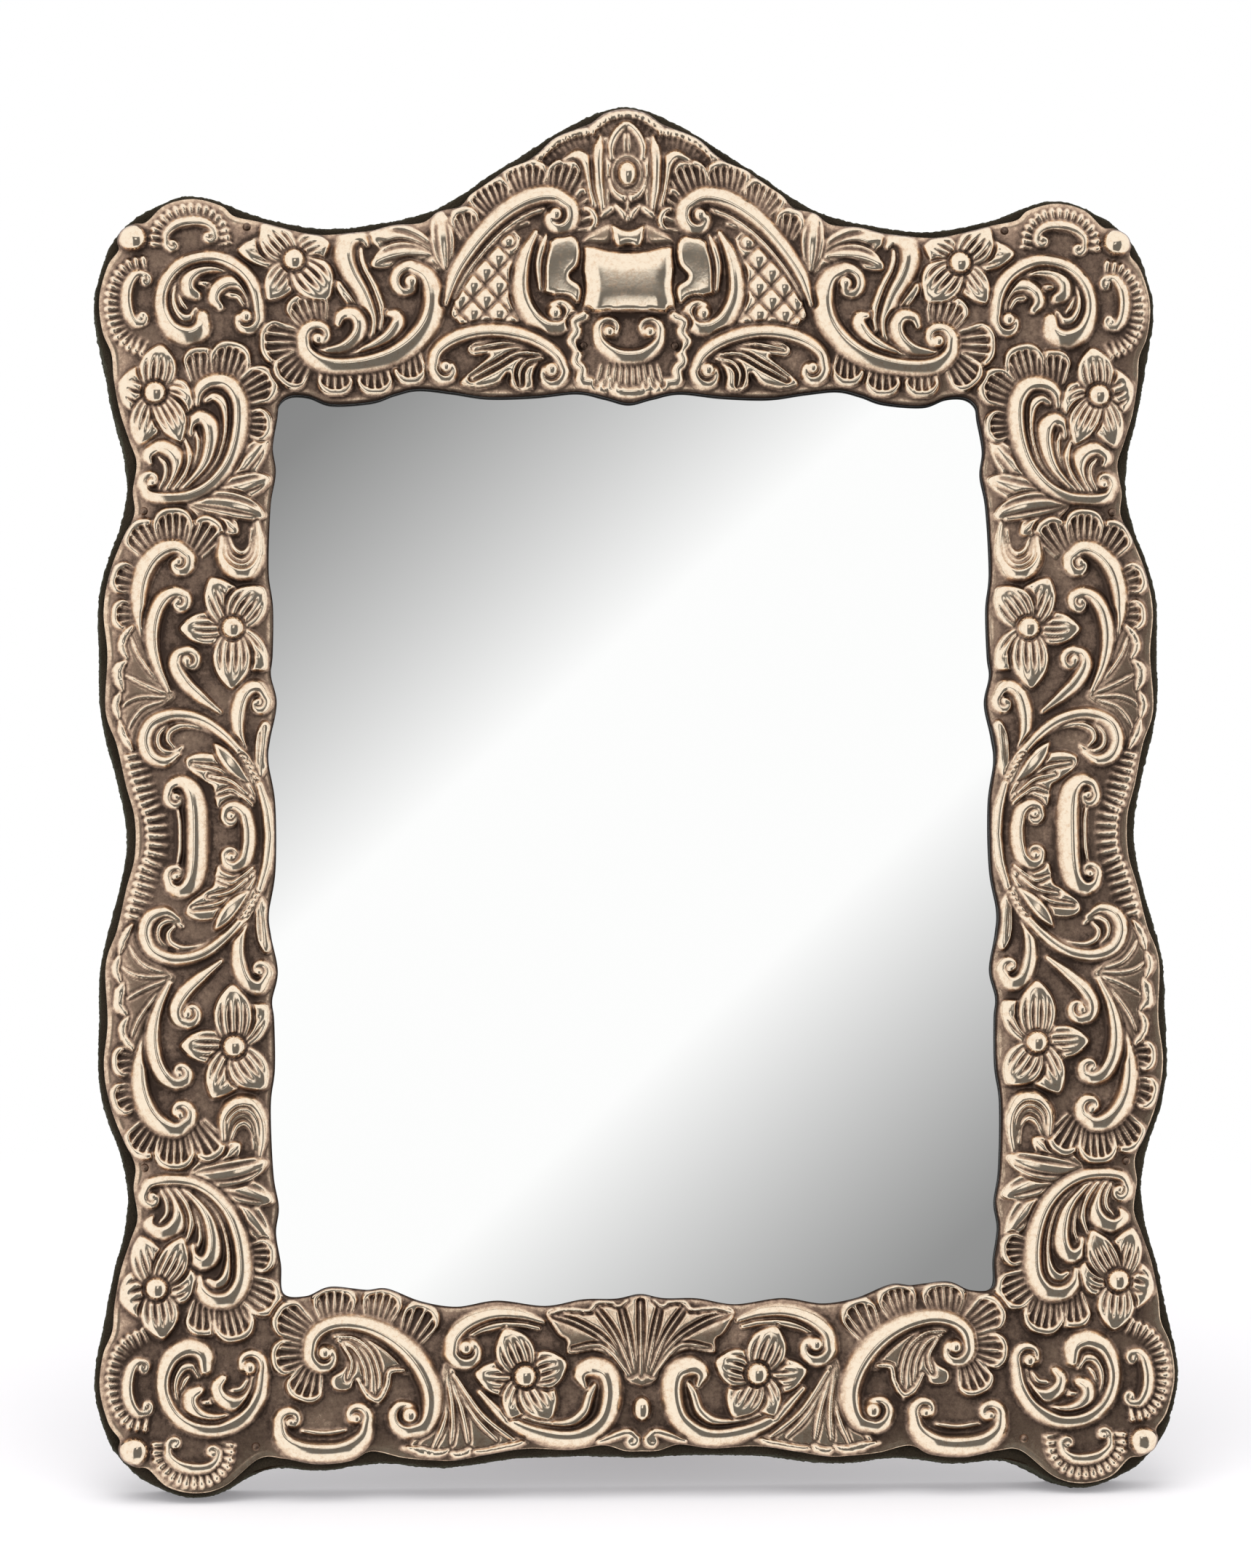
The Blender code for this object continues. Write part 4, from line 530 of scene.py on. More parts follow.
def draw_side(r):
    """From the corner flower to the middle of the side: plume, fans, flutes, twin scrolls and a flower."""
    for tip, wide, bend in (((-83.4, 204.6), 5.6, 0.05), ((-77.4, 225.6), 7, -0.08),
                            ((-76.6, 216.8), 6.6, -0.02), ((-77.8, 208.6), 6.4, 0.06)):
        r.petal((-94.4, 211.4), tip, wide, 2, bend, 0.5, 1.2, (0.8, 1), 0.55)
    r.flutes([((-91.4, 237.4), (-91.6, 245), 7.8, 5), ((-86.4, 236.8), (-84.2, 246.2), 9.2, 6),
              ((-84, 234.2), (-75.4, 238.6), 8.6, 5), ((-83, 228.2), (-76.2, 228.2), 7.4, 5),
              ((-105, 194.2), (-110.6, 196), 7.4, 4), ((-105, 187.2), (-110.6, 187.4), 6.8, 4),
              ((-101.2, 200), (-106, 207.2), 8.4, 5), ((-93, 200.6), (-88.4, 208), 7.6, 4),
              ((-97.2, 201.2), (-97.6, 210.4), 9, 6)])
    # Acanthus leaf: dark field, thin veins and a rough rolled edge
    r.plaque([(-97, 169.4), (-99.6, 173.4), (-103, 178.4), (-105.6, 184.8), (-108.6, 182), (-108.8, 178.6),
              (-107.4, 177.6), (-109.6, 176.8), (-110, 173.6), (-108.8, 170.8), (-110.2, 168),
              (-109.4, 165), (-108.6, 161.6), (-106, 158.2), (-103.6, 163), (-100.6, 166.6)], 0.45, 1.4,
             stain=0.26)
    r.ridges([[(-97.6, 170.6), (-101.4, 174), (-104.8, 178.6), (-106.4, 182.6)],
              [(-98, 170), (-103, 172), (-108, 174.6)],
              [(-99, 169.6), (-104, 169.6), (-107, 168.6), (-109, 166.8)],
              [(-99.6, 168.8), (-103.4, 167.4), (-105.6, 165.2), (-106.9, 162.8)]], 0.45, 1.7)
    r.frill([(-105.7, 185), (-107.5, 183), (-108.3, 180.6), (-107.2, 177.8)], 1)
    r.frill([(-107.6, 177.2), (-109, 175.8), (-108.9, 173.4), (-108.2, 171.2)], 1.3)
    r.frill([(-108.8, 170.4), (-109.6, 168), (-109, 165.4)], 1)
    r.frill([(-108.7, 164.4), (-107.9, 161.4), (-106.2, 158.6)], 1)

    # Leaf on the stem
    r.petal((-79.2, 152.4), (-78, 164.8), 4.2, 2, 0, 0.7, 1.2, (0.7, 0.95), 0.4)
    r.plaque([(-80.4, 147), (-80.8, 151), (-84.8, 155.4), (-88.4, 157.5), (-92.6, 157.8), (-95, 156.3),
              (-93.8, 153.6), (-91, 151.6), (-89.2, 150.2), (-88.9, 148), (-88, 146), (-84.8, 148.2)], 1.0,
             1.5, stain=0.08)
    r.ridges([[(-93.4, 155.2), (-88, 154.2), (-84, 151.6), (-80.8, 148)],
              [(-88.4, 149), (-84.8, 149.8), (-80.8, 146.6)], [(-90, 152.8), (-85.6, 151.8), (-82, 149)]],
             0.6, 1.6)
    r.petal((-80.6, 151.4), (-89, 159.9), 4, 1, 0.04, 0.2, 1.4, (0.6, 0.9), 0.5)

    # The plume beside the corner flower
    r.scroll([(-99.6, 213), (-96.9, 216), (-96.2, 219.6), (-97.8, 222.4), (-100.6, 223.2), (-102.8, 221.6),
              (-102.2, 220)], (0.5, 1.3, 1.7, 1.7, 1.5, 1.1, 0.5))
    r.ridges([[(-100.2, 214.4), (-99, 217), (-99, 219.4), (-100.4, 221)]], 0.7)
    r.scroll([(-98, 213), (-94.6, 217.4), (-93.8, 221), (-94.9, 225.2)], (0.5, 1, 0.9, 0.3), grooves=())
    r.ridges([[(-94.6, 214.6), (-92.6, 219), (-91.9, 223.6), (-92.8, 226.8)]], 0.75)
    r.scroll([(-96.4, 213), (-91.2, 218.2), (-89.3, 223.4), (-89.5, 227.8), (-91.5, 229.7), (-93.7, 228.2),
              (-93.7, 226)], (0.5, 1.4, 1.7, 1.8, 1.5, 1.2, 0.6))
    r.scroll([(-94, 213.4), (-88.6, 217.6), (-86, 222.6), (-85.3, 228), (-86.4, 232.4), (-88.6, 234.2),
              (-90.4, 233.4)], (0.5, 1.2, 1.5, 1.5, 1.3, 1.1, 0.7))
    r.scroll([(-103.9, 215), (-102.6, 212.9), (-99, 212.2), (-94, 212.7), (-89.6, 215), (-86, 219),
              (-83.9, 224), (-83.1, 229.4), (-83.6, 234), (-86, 237.1), (-89.6, 237.3), (-92, 235.2),
              (-92.3, 232.6)], (0.9, 1.1, 1.2, 1.2, 1.3, 1.5, 1.7, 1.8, 1.8, 1.8, 1.6, 1.3, 0.7),
             (-101.9, 216))

    # Twin C-scrolls, the small one by them, and the cup
    r.scroll([(-103.4, 182), (-104.6, 187.6), (-104.5, 193), (-103.1, 197.4), (-100.4, 200.6), (-97, 201.8),
              (-94.2, 200)], (0.6, 1.4, 1.8, 2, 1.9, 1.6, 1.3), None, (-96.3, 198.2))
    r.scroll([(-98.4, 171), (-100.9, 176.5), (-101.9, 182), (-101.4, 187), (-99.5, 190.7), (-97, 192.1),
              (-94.8, 191.4)], (0.5, 1.1, 1.5, 1.7, 1.6, 1.3, 1.1), None, (-96.3, 189.8))
    r.scroll([(-87.6, 166.4), (-91.6, 169.6), (-95, 172.8), (-97, 176.2), (-96.6, 178.8), (-94.4, 179.7)],
             (0.5, 1.2, 1.5, 1.5, 1.2, 1), None, (-94.2, 177.2))
    r.scroll([(-85.8, 203.8), (-84.8, 201.2), (-82.5, 200.1), (-80.6, 202), (-80.6, 205.6)],
             (0.4, 0.9, 1, 0.8, 0.4), grooves=())
    r.scroll([(-86.8, 203.6), (-86.6, 199.6), (-84.4, 197.2), (-81.6, 197.2), (-79.7, 199.8),
              (-79.3, 203.6), (-79.7, 207)], (0.8, 1.7, 2.2, 2.2, 1.6, 1.1, 0.6), grooves=(0.1, 0.55))

    # Scrolls by the sight edge and the large hook
    r.scroll([(-82.2, 156), (-83.8, 162.6), (-83.6, 167.6), (-82, 171), (-79.4, 171.8), (-77.7, 169.4)],
             (0.5, 1.3, 1.6, 1.6, 1.4, 1), None, (-79.6, 168.3))
    r.scroll([(-86.6, 160.6), (-91, 163.2), (-95, 163.7), (-97.9, 162.6), (-98.6, 160.6), (-97.4, 159)],
             (0.4, 0.6, 0.7, 0.7, 0.6, 0.3), grooves=())
    r.scroll([(-98.8, 163.8), (-100.7, 161.4), (-100.3, 158.7), (-97.6, 157.6), (-95.6, 159)],
             (0.3, 0.6, 0.7, 0.6, 0.3), grooves=())
    r.scroll([(-79.4, 150.6), (-82.6, 156.8), (-86.9, 161.6), (-91.8, 164.9), (-97.2, 165.9),
              (-101.8, 164.2), (-103.5, 160.6), (-102.4, 157.2), (-99.2, 155.9), (-96.2, 157.6)],
             (0.9, 1, 1.1, 1.2, 1.3, 1.5, 1.6, 1.5, 1.1, 0.4), grooves=())
    for number in range(6):
        r.ridges([[(-83.4 + 0.7 * number, 157.2 - 1.1 * number),
                   (-82 + 0.7 * number, 156.4 - 1.1 * number)]], 0.4, 2.6)

    r.flower((-84.9, 184.4),
             [((-96.4, 184.2), 9.0, 0), ((-89.6, 195.4), 10.3, -0.04), ((-78.2, 193.4), 10.8, 0.04),
              ((-77.8, 175.4), 9.7, -0.04), ((-85.2, 171), 10.6, 0)])
    r.flower((-101.2, 234.9),
             [((-108.9, 237.4), 12.6, 0), ((-104.6, 223.6), 9.2, 0), ((-93, 231.6), 10.1, 0.1),
              ((-95.6, 224), 8.5, 0.05), ((-99.9, 245.6), 10.3, 0)])


def draw_edge(r):
    """Rough teeth along the middle of the side."""
    half = [(-107, 157), (-106.2, 153.6), (-105.3, 150.6), (-104.4, 147.4), (-103, 144), (-102.5, 140)]
    r.teeth(half + flipped(half)[::-1][1:], 1.75, 4.2, 1.0, 1.1, -1)


def draw_middle(r):
    """Scrolls that cross the mirror line in the middle of the side, drawn whole."""
    r.ridges([[(-96.6, 146), (-96.1, 143), (-96, 140), (-96.1, 137), (-96.6, 134)]], 0.7, 1.2)
    for points, widths, eye, grooves in (([(-79.3, 151), (-77.9, 146), (-77.3, 141)], (0.8, 1.1, 1.2), None,
                                          ()),
                                         ([(-98.9, 148.6), (-98, 150.8), (-95.8, 151.6), (-93.6, 149.8),
                                           (-92.7, 146), (-92.5, 141)], (0.9, 1.1, 1.4, 1.9, 2.2, 2.3),
                                          (-96.8, 148.1), None),
                                         ([(-87.1, 144), (-86.5, 145.9), (-84.6, 146.5), (-82.5, 145),
                                           (-81.7, 142), (-81.6, 140.6)], (0.7, 0.9, 1.1, 1.4, 1.5, 1.5),
                                          (-85.2, 144.1), None)):
        path = points + flipped(points)[::-1]
        r.scroll(path, widths + widths[::-1], eye, flipped([eye])[0] if eye else None, grooves)


def draw_top_rail(r):
    """The large S-scroll with its plumes, flutes, leaf and flower."""
    r.flutes([((-67.4, 250), (-69.8, 256.8), 10, 6), ((-70.6, 246), (-79.2, 245.8), 10, 5),
              ((-62.8, 242), (-63, 234.4), 8, 5), ((-54.6, 242), (-54.4, 234.6), 8, 5),
              ((-47.2, 245), (-46.8, 236.8), 7.4, 5), ((-69.6, 242.8), (-74.6, 237), 8.4, 5)])
    for base, tip, wide, bend in (((-39.4, 262), (-55.8, 269.6), 8.6, -0.1),
                                  ((-42, 265), (-55.4, 262.6), 6, -0.12),
                                  ((-39.2, 261.6), (-40.4, 275), 6, 0)):
        r.petal(base, tip, wide, 2, bend, 0.5, 1.2, (0.7, 0.95), 0.5)
    r.petal((-55, 250.6), (-63.4, 259.4), 4.4, 2, -0.05, 0.2)
    r.scroll([(-53.2, 249), (-53, 253.4), (-54.8, 258.2), (-57, 262.6), (-57.4, 266.6)],
             (0.5, 1, 1.1, 1, 0.6), grooves=())
    r.scroll([(-55, 246.6), (-55.2, 251.4), (-57, 256.4), (-59.6, 261), (-60.8, 265), (-59.9, 268.3),
              (-57.4, 269), (-56, 267.4)], (0.6, 1.3, 1.6, 1.9, 2.2, 2.1, 1.4, 0.7))
    r.scroll([(-66, 243), (-58, 243.6), (-52.4, 246.4), (-49.6, 249.8), (-49.7, 251.9), (-51.2, 252.3)],
             (0.5, 1.2, 1.5, 1.6, 1.3, 0.9))
    r.scroll([(-66.4, 243.8), (-61.2, 244.8), (-58.2, 247.4), (-57.6, 250.2), (-59, 252.1), (-61.4, 251.9),
              (-62.3, 250)], (0.6, 1.3, 1.6, 1.7, 1.6, 1.3, 0.8))
    r.scroll([(-69.7, 247), (-69.1, 243.9), (-66.4, 241.6), (-62, 240.8), (-56, 241.4), (-50.4, 243.2),
              (-45.7, 246.6), (-42.7, 251), (-41.9, 256), (-43.3, 260.4), (-46.8, 262.5)],
             (1.5, 1.6, 1.7, 1.7, 1.8, 2, 2.2, 2.3, 2.2, 1.9, 1.5), (-66.3, 247.1), (-47.2, 258.8))
    r.flower((-71.6, 263.8),
             [((-83.8, 266), 8.7, -0.05), ((-77.4, 254.8), 8.5, 0), ((-63.8, 267.8), 9.0, 0.08),
              ((-78.4, 271.8), 9.9, 0.03), ((-64, 255.2), 11.7, 0.04)])


def draw_crest(r):
    """Palmette with its cabochon, edge flutes, C-scrolls, lattice, cartouche and the scroll under it."""
    r.teeth([(-7, 293.2), (-3.6, 295.5), (0, 296.1), (3.6, 295.5), (7, 293.2)], 1.5, 3.4, 1, 1.6,
            joined=True)
    r.teeth([(-19, 286.4), (-15.6, 289.7), (-11.5, 291.8), (-7.6, 292.4)], 1.5, 3.4, 1, 1.6, joined=True)
    r.flutes([((-34, 269), (-35.8, 275.8), 6.6, 4), ((-28, 275), (-30.9, 281.6), 10.4, 7),
              ((-21.4, 278.8), (-21.9, 286.2), 10.4, 7), ((-14.4, 277.6), (-11.4, 285.8), 10, 6),
              ((-12, 275), (-6.8, 278.6), 6, 3), ((-11.8, 272), (-6.4, 274), 5.6, 2)])

    # Lattice
    field = np.array([(-38.2, 252), (-37, 257), (-31.5, 266.5), (-26, 272), (-23, 269), (-24.6, 262),
                      (-24.6, 256), (-22, 251), (-29, 249.4), (-36, 249.6)])
    area = r.window(field.min(0), field.max(0))
    a = r.x[area] / 5.5 + r.z[area] / 6
    b = r.x[area] / 5.5 - r.z[area] / 6 + 0.17
    pillow = np.sqrt((1 - (2 * (a - np.round(a))) ** 2) * (1 - (2 * (b - np.round(b))) ** 2))
    r.height[area] = np.where(r.within(area, field), 0.1 + 1.5 * pillow, r.height[area])
    r.bead((-25.8, 268.2), 1.7, 1.6, 1.2)

    # Wing of the cartouche
    r.plaque([(-19, 269.6), (-17.6, 268), (-15.6, 269), (-13.2, 269.6), (-11, 268.8), (-10.2, 266),
              (-10.7, 262.8), (-12.5, 260.4), (-10.6, 258.8), (-9.9, 257), (-10.8, 254.6), (-13.6, 255.4),
              (-16.4, 256.2), (-19, 257.4), (-20.2, 262), (-20, 266)], 1.6, 1.4)
    r.scroll([(-19, 257.8), (-19.3, 263), (-18.4, 267), (-17.6, 269.4)], (0.5, 0.9, 0.9, 0.4), grooves=())

    r.ridges([[(-34.4, 260.8), (-31, 266), (-26.4, 270.4), (-21.4, 272.2)]], 0.6)
    r.scroll([(-37.6, 256), (-35, 261.6), (-30.8, 267.2), (-26.2, 271.8), (-21.6, 274.4), (-18.2, 275)],
             (0.5, 1.1, 1.3, 1.4, 1.1, 0.6), grooves=())
    r.scroll([(-39.3, 254.6), (-37.4, 260.6), (-34.2, 266), (-30, 271.2), (-25.4, 275.2), (-20.6, 277.7),
              (-16, 278.2), (-12.7, 276.3)], (0.7, 1.4, 1.6, 1.8, 2, 2.1, 2, 1.8), None, (-15.4, 273.4))
    r.scroll([(-19.8, 270.2), (-21.9, 266), (-23.1, 261), (-23, 256), (-21, 251.8), (-18, 249.5),
              (-15.4, 249.2)], (0.6, 1.3, 1.7, 1.9, 1.9, 1.7, 1.5), None, (-15.4, 252.9))
    # Acanthus leaf inside the scroll, with its veins
    r.plaque([(-16, 243.6), (-20, 246.2), (-25, 247), (-30, 246.9), (-33, 246.2), (-34.8, 244.6),
              (-33.4, 243.2), (-30, 243.4), (-33, 240.6), (-36.4, 237.4), (-33, 236.2), (-30, 236.5),
              (-27.8, 237.4), (-25.9, 239.4), (-25.6, 236.8), (-23, 235.6), (-20.6, 236.4), (-20.6, 239),
              (-19.4, 241.6)], 1.1, 1.1, stain=0.12, lean=0.05)
    r.ridges([[(-16.8, 243.8), (-24, 245.9), (-30.6, 245.2), (-33.4, 244.6)],
              [(-17.4, 243.2), (-23.6, 243.6), (-28.6, 241), (-33.8, 238.2)],
              [(-18.6, 242.6), (-22, 241.8), (-23.6, 239.6), (-23.4, 237)]], 0.6, 2.2)
    r.scroll([(-42.1, 240.6), (-41.1, 244.2), (-37.4, 247), (-32, 248.5), (-26, 248.4), (-20, 246.6),
              (-15.8, 243.6), (-13.8, 240)], (1.2, 1.4, 1.5, 1.6, 1.6, 1.6, 1.4, 1.1), (-39.1, 240.3),
             (-17.1, 239.6))

    # Palmette
    r.scroll([(-7.2, 276.4), (-7.7, 281.6), (-8.6, 285.4), (-10.6, 287.2), (-13.4, 286.2)],
             (0.7, 1.3, 1.4, 1.2, 0.4))
    for side in (-1, 1):
        blade = ((5, 291), (3.2, 289.6), (3.4, 285), (3.6, 280), (4.6, 274.6), (5.6, 279), (5.8, 285))
        stem = ((5.2, 274.4), (6, 279.6), (6.3, 285), (6.1, 288.6), (5.6, 291.4))
        r.plaque([(side * x, z) for x, z in blade], 0.8, 0.8)
        r.scroll([(side * x, z) for x, z in stem], (0.5, 1.1, 1.2, 1.2, 0.3), grooves=())
    r.plaque([(-3, 286), (-2.8, 290), (0, 293.4), (2.8, 290), (3, 286)], 0.1, 0.6, stain=0.3)
    r.ridges([[(-0.5, 287.2), (-0.4, 292)], [(0.9, 287.2), (0.8, 291.8)]], 0.35, 1.2)
    arch = [(-3.3, 286.4), (-3.5, 289), (-2.4, 291.8), (0, 293.9)]
    r.scroll(arch + [(-x, z) for x, z in arch[-2::-1]], (0.6, 0.8, 0.9, 0.9, 0.9, 0.8, 0.6), grooves=())
    r.ridges([[(-3.7, 281.6), (-2.6, 278.8), (0, 277.6), (2.6, 278.8), (3.7, 281.6)],
              [(0.5, 277.6), (0.4, 273.4)]], 1)
    for side in (-1, 1):
        r.ridges([[(side * 5.6, 273.8), (side * 4, 275), (side * 2.5, 276)],
                  [(side * 2.5, 276), (side * 1.3, 274.6), (0, 273)]], 0.8)
    r.bead((0, 283), 3.6, 4.4, 0.9)
    r.bead((0, 283), 2.6, 3.4, 0.5)
    r.bead((0, 283), 2.2, 2.9, 2.1)
    r.plaque([(-9.8, 268), (-7.4, 270.6), (-3.8, 272), (-3.4, 269), (-5.4, 267.6)], 0.6, 1.3, stain=0.25)
    r.plaque([(-3.7, 271.8), (0, 270.6), (3.7, 271.8), (3.5, 268.6), (2.2, 266.7), (0, 267.2),
              (-2.2, 266.7), (-3.5, 268.6)], 1.6, 1.4)

    # Cartouche, its lower edge turned under, and the scroll in the shell below it
    r.plaque([(-9.6, 267), (-4, 266.3), (0, 266), (4, 266.3), (9.6, 267), (9.9, 262), (9.5, 258), (10, 254),
              (9.6, 248), (0, 246), (-9.6, 248), (-10, 254), (-9.5, 258), (-9.9, 262)], 2, 4.4, 252.6,
             lean=0.036)
    rim = [(-9.6, 252), (-11.8, 250.6), (-11.2, 248.6), (-12.4, 246.4), (-11, 244.4), (-11.6, 242),
           (-10.2, 240.4), (-10.4, 238), (-8, 237.4), (-6, 236.2), (-4.4, 237.6), (-3, 236), (0, 235.4),
           (3, 236)]
    r.scroll(rim, [1.1] * len(rim), grooves=(), rise=0.8)
    r.ridges([[(x, 241.4), (x * 1.2, 236.8)] for x in (-6, -4.4, -3, -1.8, -0.6, 0.6, 1.8)], 0.4, 0.3)
    r.scroll([(-6.9, 249), (-6.2, 246), (-3.4, 243.7), (0, 243), (3.4, 243.7), (6.2, 246), (6.9, 249)],
             (1, 1.3, 1.5, 1.6, 1.5, 1.3, 1), (-4, 249), (4, 249))


def draw_bottom_rail(r):
    """Leaf volute, C-scroll, fans, the framed flower and the palmette in the middle."""
    r.flutes([((-70.6, 31), (-77.6, 30.4), 7.8, 4), ((-69.6, 36), (-76.6, 40.4), 8.4, 5),
              ((-64.2, 37.8), (-64, 45.6), 9.8, 6), ((-55.2, 37.6), (-53.4, 45), 9, 6),
              ((-48.4, 34), (-44.4, 41.6), 8.4, 4), ((-69, 28), (-71.6, 21.4), 8.4, 5)])
    # Spray below the scrolls
    r.plaque([(-40.6, 23.4), (-41.4, 20.6), (-43.6, 16.6), (-47, 13), (-50.4, 11.6), (-47, 10.2),
              (-42.6, 9.4), (-40.6, 10.4), (-39.4, 9.2), (-37.2, 9.3), (-35.4, 10.6), (-33.6, 9.7),
              (-30, 10.4), (-26, 11.6), (-23.6, 12.6), (-27, 14), (-31, 17.4), (-35.4, 21.2),
              (-38.4, 23.2)], 0.6, 0.9, stain=0.1)
    r.ridges([[(-41.4, 27.4), (-42.6, 18.6), (-48, 12.4)], [(-41, 28.6), (-41.2, 18), (-43.6, 11.6)],
              [(-40.6, 29.6), (-39.6, 18), (-39.9, 12.4)], [(-40.2, 28.6), (-37.4, 18), (-36.4, 12.6)],
              [(-39.7, 27.6), (-35, 18), (-30.4, 13)], [(-39.2, 26.6), (-33.4, 18.2), (-26.6, 12.8)]], 0.75,
             1.4)
    r.frill([(-49, 11.6), (-46, 10.9), (-42.8, 10.3), (-40.4, 10.9)], 1)
    r.frill([(-39.9, 10.3), (-38.2, 10), (-35.8, 11)], 1)
    r.frill([(-35, 10.7), (-32, 10.7), (-28, 11.6), (-25, 12.5)], 1)

    # Acanthus leaf inside the C-scroll
    r.plaque([(-66, 35.6), (-62.4, 36.9), (-58, 36.9), (-54, 35.6), (-50.6, 33.6), (-48.4, 31),
              (-47.6, 27.2), (-50, 26.8), (-51.8, 27.2), (-52.2, 25.2), (-53.4, 22.4), (-55, 20.4),
              (-57.2, 21.2), (-58.8, 23.2), (-59.9, 25.8), (-60.6, 24), (-62.6, 23.4), (-64.8, 24.2),
              (-64.8, 26.6), (-62, 28.4), (-61.6, 31.4), (-63.2, 34)], 0.9, 1, stain=0.18)
    r.ridges([[(-64.6, 35.4), (-60, 35.8), (-55, 34), (-51, 30.8), (-49.4, 28)],
              [(-64.2, 34.8), (-60, 34.4), (-56.4, 31.4), (-54.8, 26.6), (-55, 22.6)],
              [(-63.4, 34), (-60.2, 32.4), (-58, 28.6), (-57.4, 24)],
              [(-62.6, 33.2), (-60.6, 29.6), (-61.4, 26)]], 0.55, 1.9)
    r.frill([(-48.4, 27.9), (-50.2, 27.7), (-52.6, 27.4), (-53.2, 24.6), (-55, 21.6), (-57.4, 22.6),
             (-59.4, 26)], 0.8)
    r.ridges([[(-71, 15.4), (-66.4, 14.8), (-62, 15.4)]], 0.6)
    r.scroll([(-75.8, 17.6), (-75.2, 14), (-72, 11.6), (-67, 10.8), (-62, 11.4), (-58.2, 14),
              (-57.2, 17.6)], (1.2, 1.6, 1.9, 2, 1.9, 1.6, 1.2), (-73.2, 17.4), (-59.9, 18.2))
    r.scroll([(-69.4, 31.4), (-68.7, 34.6), (-66, 37), (-61.4, 37.8), (-56, 36.6), (-50.6, 33.5),
              (-46.5, 29), (-44.1, 23.8), (-44, 19.2), (-45.6, 16), (-48.6, 14.9)],
             (1.4, 1.5, 1.5, 1.6, 1.8, 2.1, 2.2, 2.2, 2, 1.7, 1.4), (-66, 31), (-49.2, 18.7))
    # Palmette
    r.plaque([(1, 23.4), (1, 43), (-2.6, 42.6), (-4.6, 41), (-6, 42.2), (-9, 42.2), (-10.8, 40.4),
              (-13, 40.6), (-16, 40.7), (-19.2, 40), (-19.8, 38.6), (-18.6, 36.4), (-17.4, 34.6),
              (-15.8, 33.4), (-15.6, 30.8), (-13, 31), (-9.6, 31.4), (-6.6, 30), (-4.4, 27.8),
              (-2.6, 24.6)], 0.7, 1.1, stain=0.34, lean=-0.05)
    r.ridges([[(-2.2, 26), (-7, 33), (-13, 37), (-18.2, 38.8)], [(-1.8, 26.4), (-5, 34), (-9.4, 40.4)],
              [(-1.2, 26.6), (-2.6, 34), (-4, 40)], [(-2.6, 26), (-8, 32.2), (-14.4, 31.8)],
              [(0, 26), (0, 41.6)]], 0.42, 1.7)
    r.frill([(-19, 39.2), (-16, 40), (-13, 39.9), (-10.8, 39.8), (-9, 41.4), (-6.2, 41.4), (-4.6, 40.6),
             (-2.6, 41.9)], 0.6, 1.1)
    r.scroll([(-27, 18.6), (-21, 16.2), (-15.6, 16.3), (-12.2, 18.6), (-10.8, 22.4), (-9.2, 25)],
             (0.5, 1, 1.1, 1.1, 1, 0.5), grooves=())
    r.scroll([(-34, 23), (-28, 17), (-20.6, 13.9), (-13.4, 13.4), (-8.2, 16.6), (-6.4, 22), (-7.2, 26.6),
              (-10.4, 28), (-12.8, 26.6), (-12, 24)], (0.6, 1.2, 1.6, 1.8, 1.9, 2.1, 2.2, 2, 1.4, 0.6))
    r.scroll([(-21.4, 36.2), (-27, 37.2), (-32.6, 36.4), (-36, 34.6)], (0.4, 0.9, 1, 0.5), grooves=())
    r.scroll([(-20.4, 37.6), (-25.4, 39.2), (-31, 39.4), (-36, 37.7), (-39.2, 34.6), (-39.9, 31)],
             (0.5, 1.2, 1.4, 1.6, 1.6, 1.5), None, (-36.3, 31.9))
    r.flower((-24.4, 26.2),
             [((-35.2, 26.8), 9.2, 0.06), ((-27.8, 17.2), 8.5, 0), ((-19, 17), 10.3, 0),
              ((-15.4, 29), 10.3, 0), ((-28.6, 36.4), 10.8, 0)])
    r.scroll([(-9, 12.4), (-5.4, 13.7), (-2.8, 14.3), (-1, 13)], (0.5, 0.9, 0.9, 0.7), None, (-2.3, 12.7),
             ())
    r.bead((0, 19.2), 2, 2.7, 1.9)


def drawn_relief():
    r = Relief()
    draw_edge(r)
    for r.flip in (False, True):
        draw_corner(r)
        draw_side(r)
    r.flip = False
    draw_middle(r)
    draw_top_rail(r)
    draw_crest(r)
    draw_bottom_rail(r)
    r.finish([sight_half(900), outer_half(1400)])
    return r


# Meshes and materials

def plate_matrix(joints):
    """Plate millimetres to metres in the frame, from the strut's hinge and a turn button's axis."""
    hinge = next(joint for joint in joints if joint["name"] == "strut_hinge")
    button = next(joint for joint in joints if joint["name"] == "upper_left_button_pivot")
    back = Vector(button["axis"]).normalized()
    side = Vector(hinge["axis"]).normalized()
    up = side.cross(back)
    turn = Matrix((side, back, up)).transposed().to_4x4()
    origin = Vector(hinge["pos_m"]) - (back * HINGE_DEPTH + up * HINGE_HEIGHT) / 1000
    return Matrix.Translation(origin) @ turn @ Matrix.Scale(0.001, 4)


def link(name, mesh):
    made = bpy.data.objects.new(name, mesh)
    bpy.context.scene.collection.objects.link(made)
    return made


def grid_mesh(name, points, faces, fields=None):
    """A smooth mesh from arrays, with values at its points as attributes."""
    mesh = bpy.data.meshes.new(name)
    mesh.from_pydata(points.tolist(), [], faces.tolist())
    mesh.shade_smooth()
    for field, values in (fields or {}).items():
        layer = mesh.attributes.new(field, "FLOAT", "POINT")
        layer.data.foreach_set("value", np.asarray(values, np.float32).ravel())
    return mesh


def band_faces(loops, columns):
    """Quads between closed loops of points, each loop a row number."""
    rows = [np.arange(columns) + columns * row for row in loops]
    pairs = zip(rows, rows[1:])
    return np.vstack([np.column_stack([a, np.roll(a, -1), np.roll(b, -1), b]) for a, b in pairs])


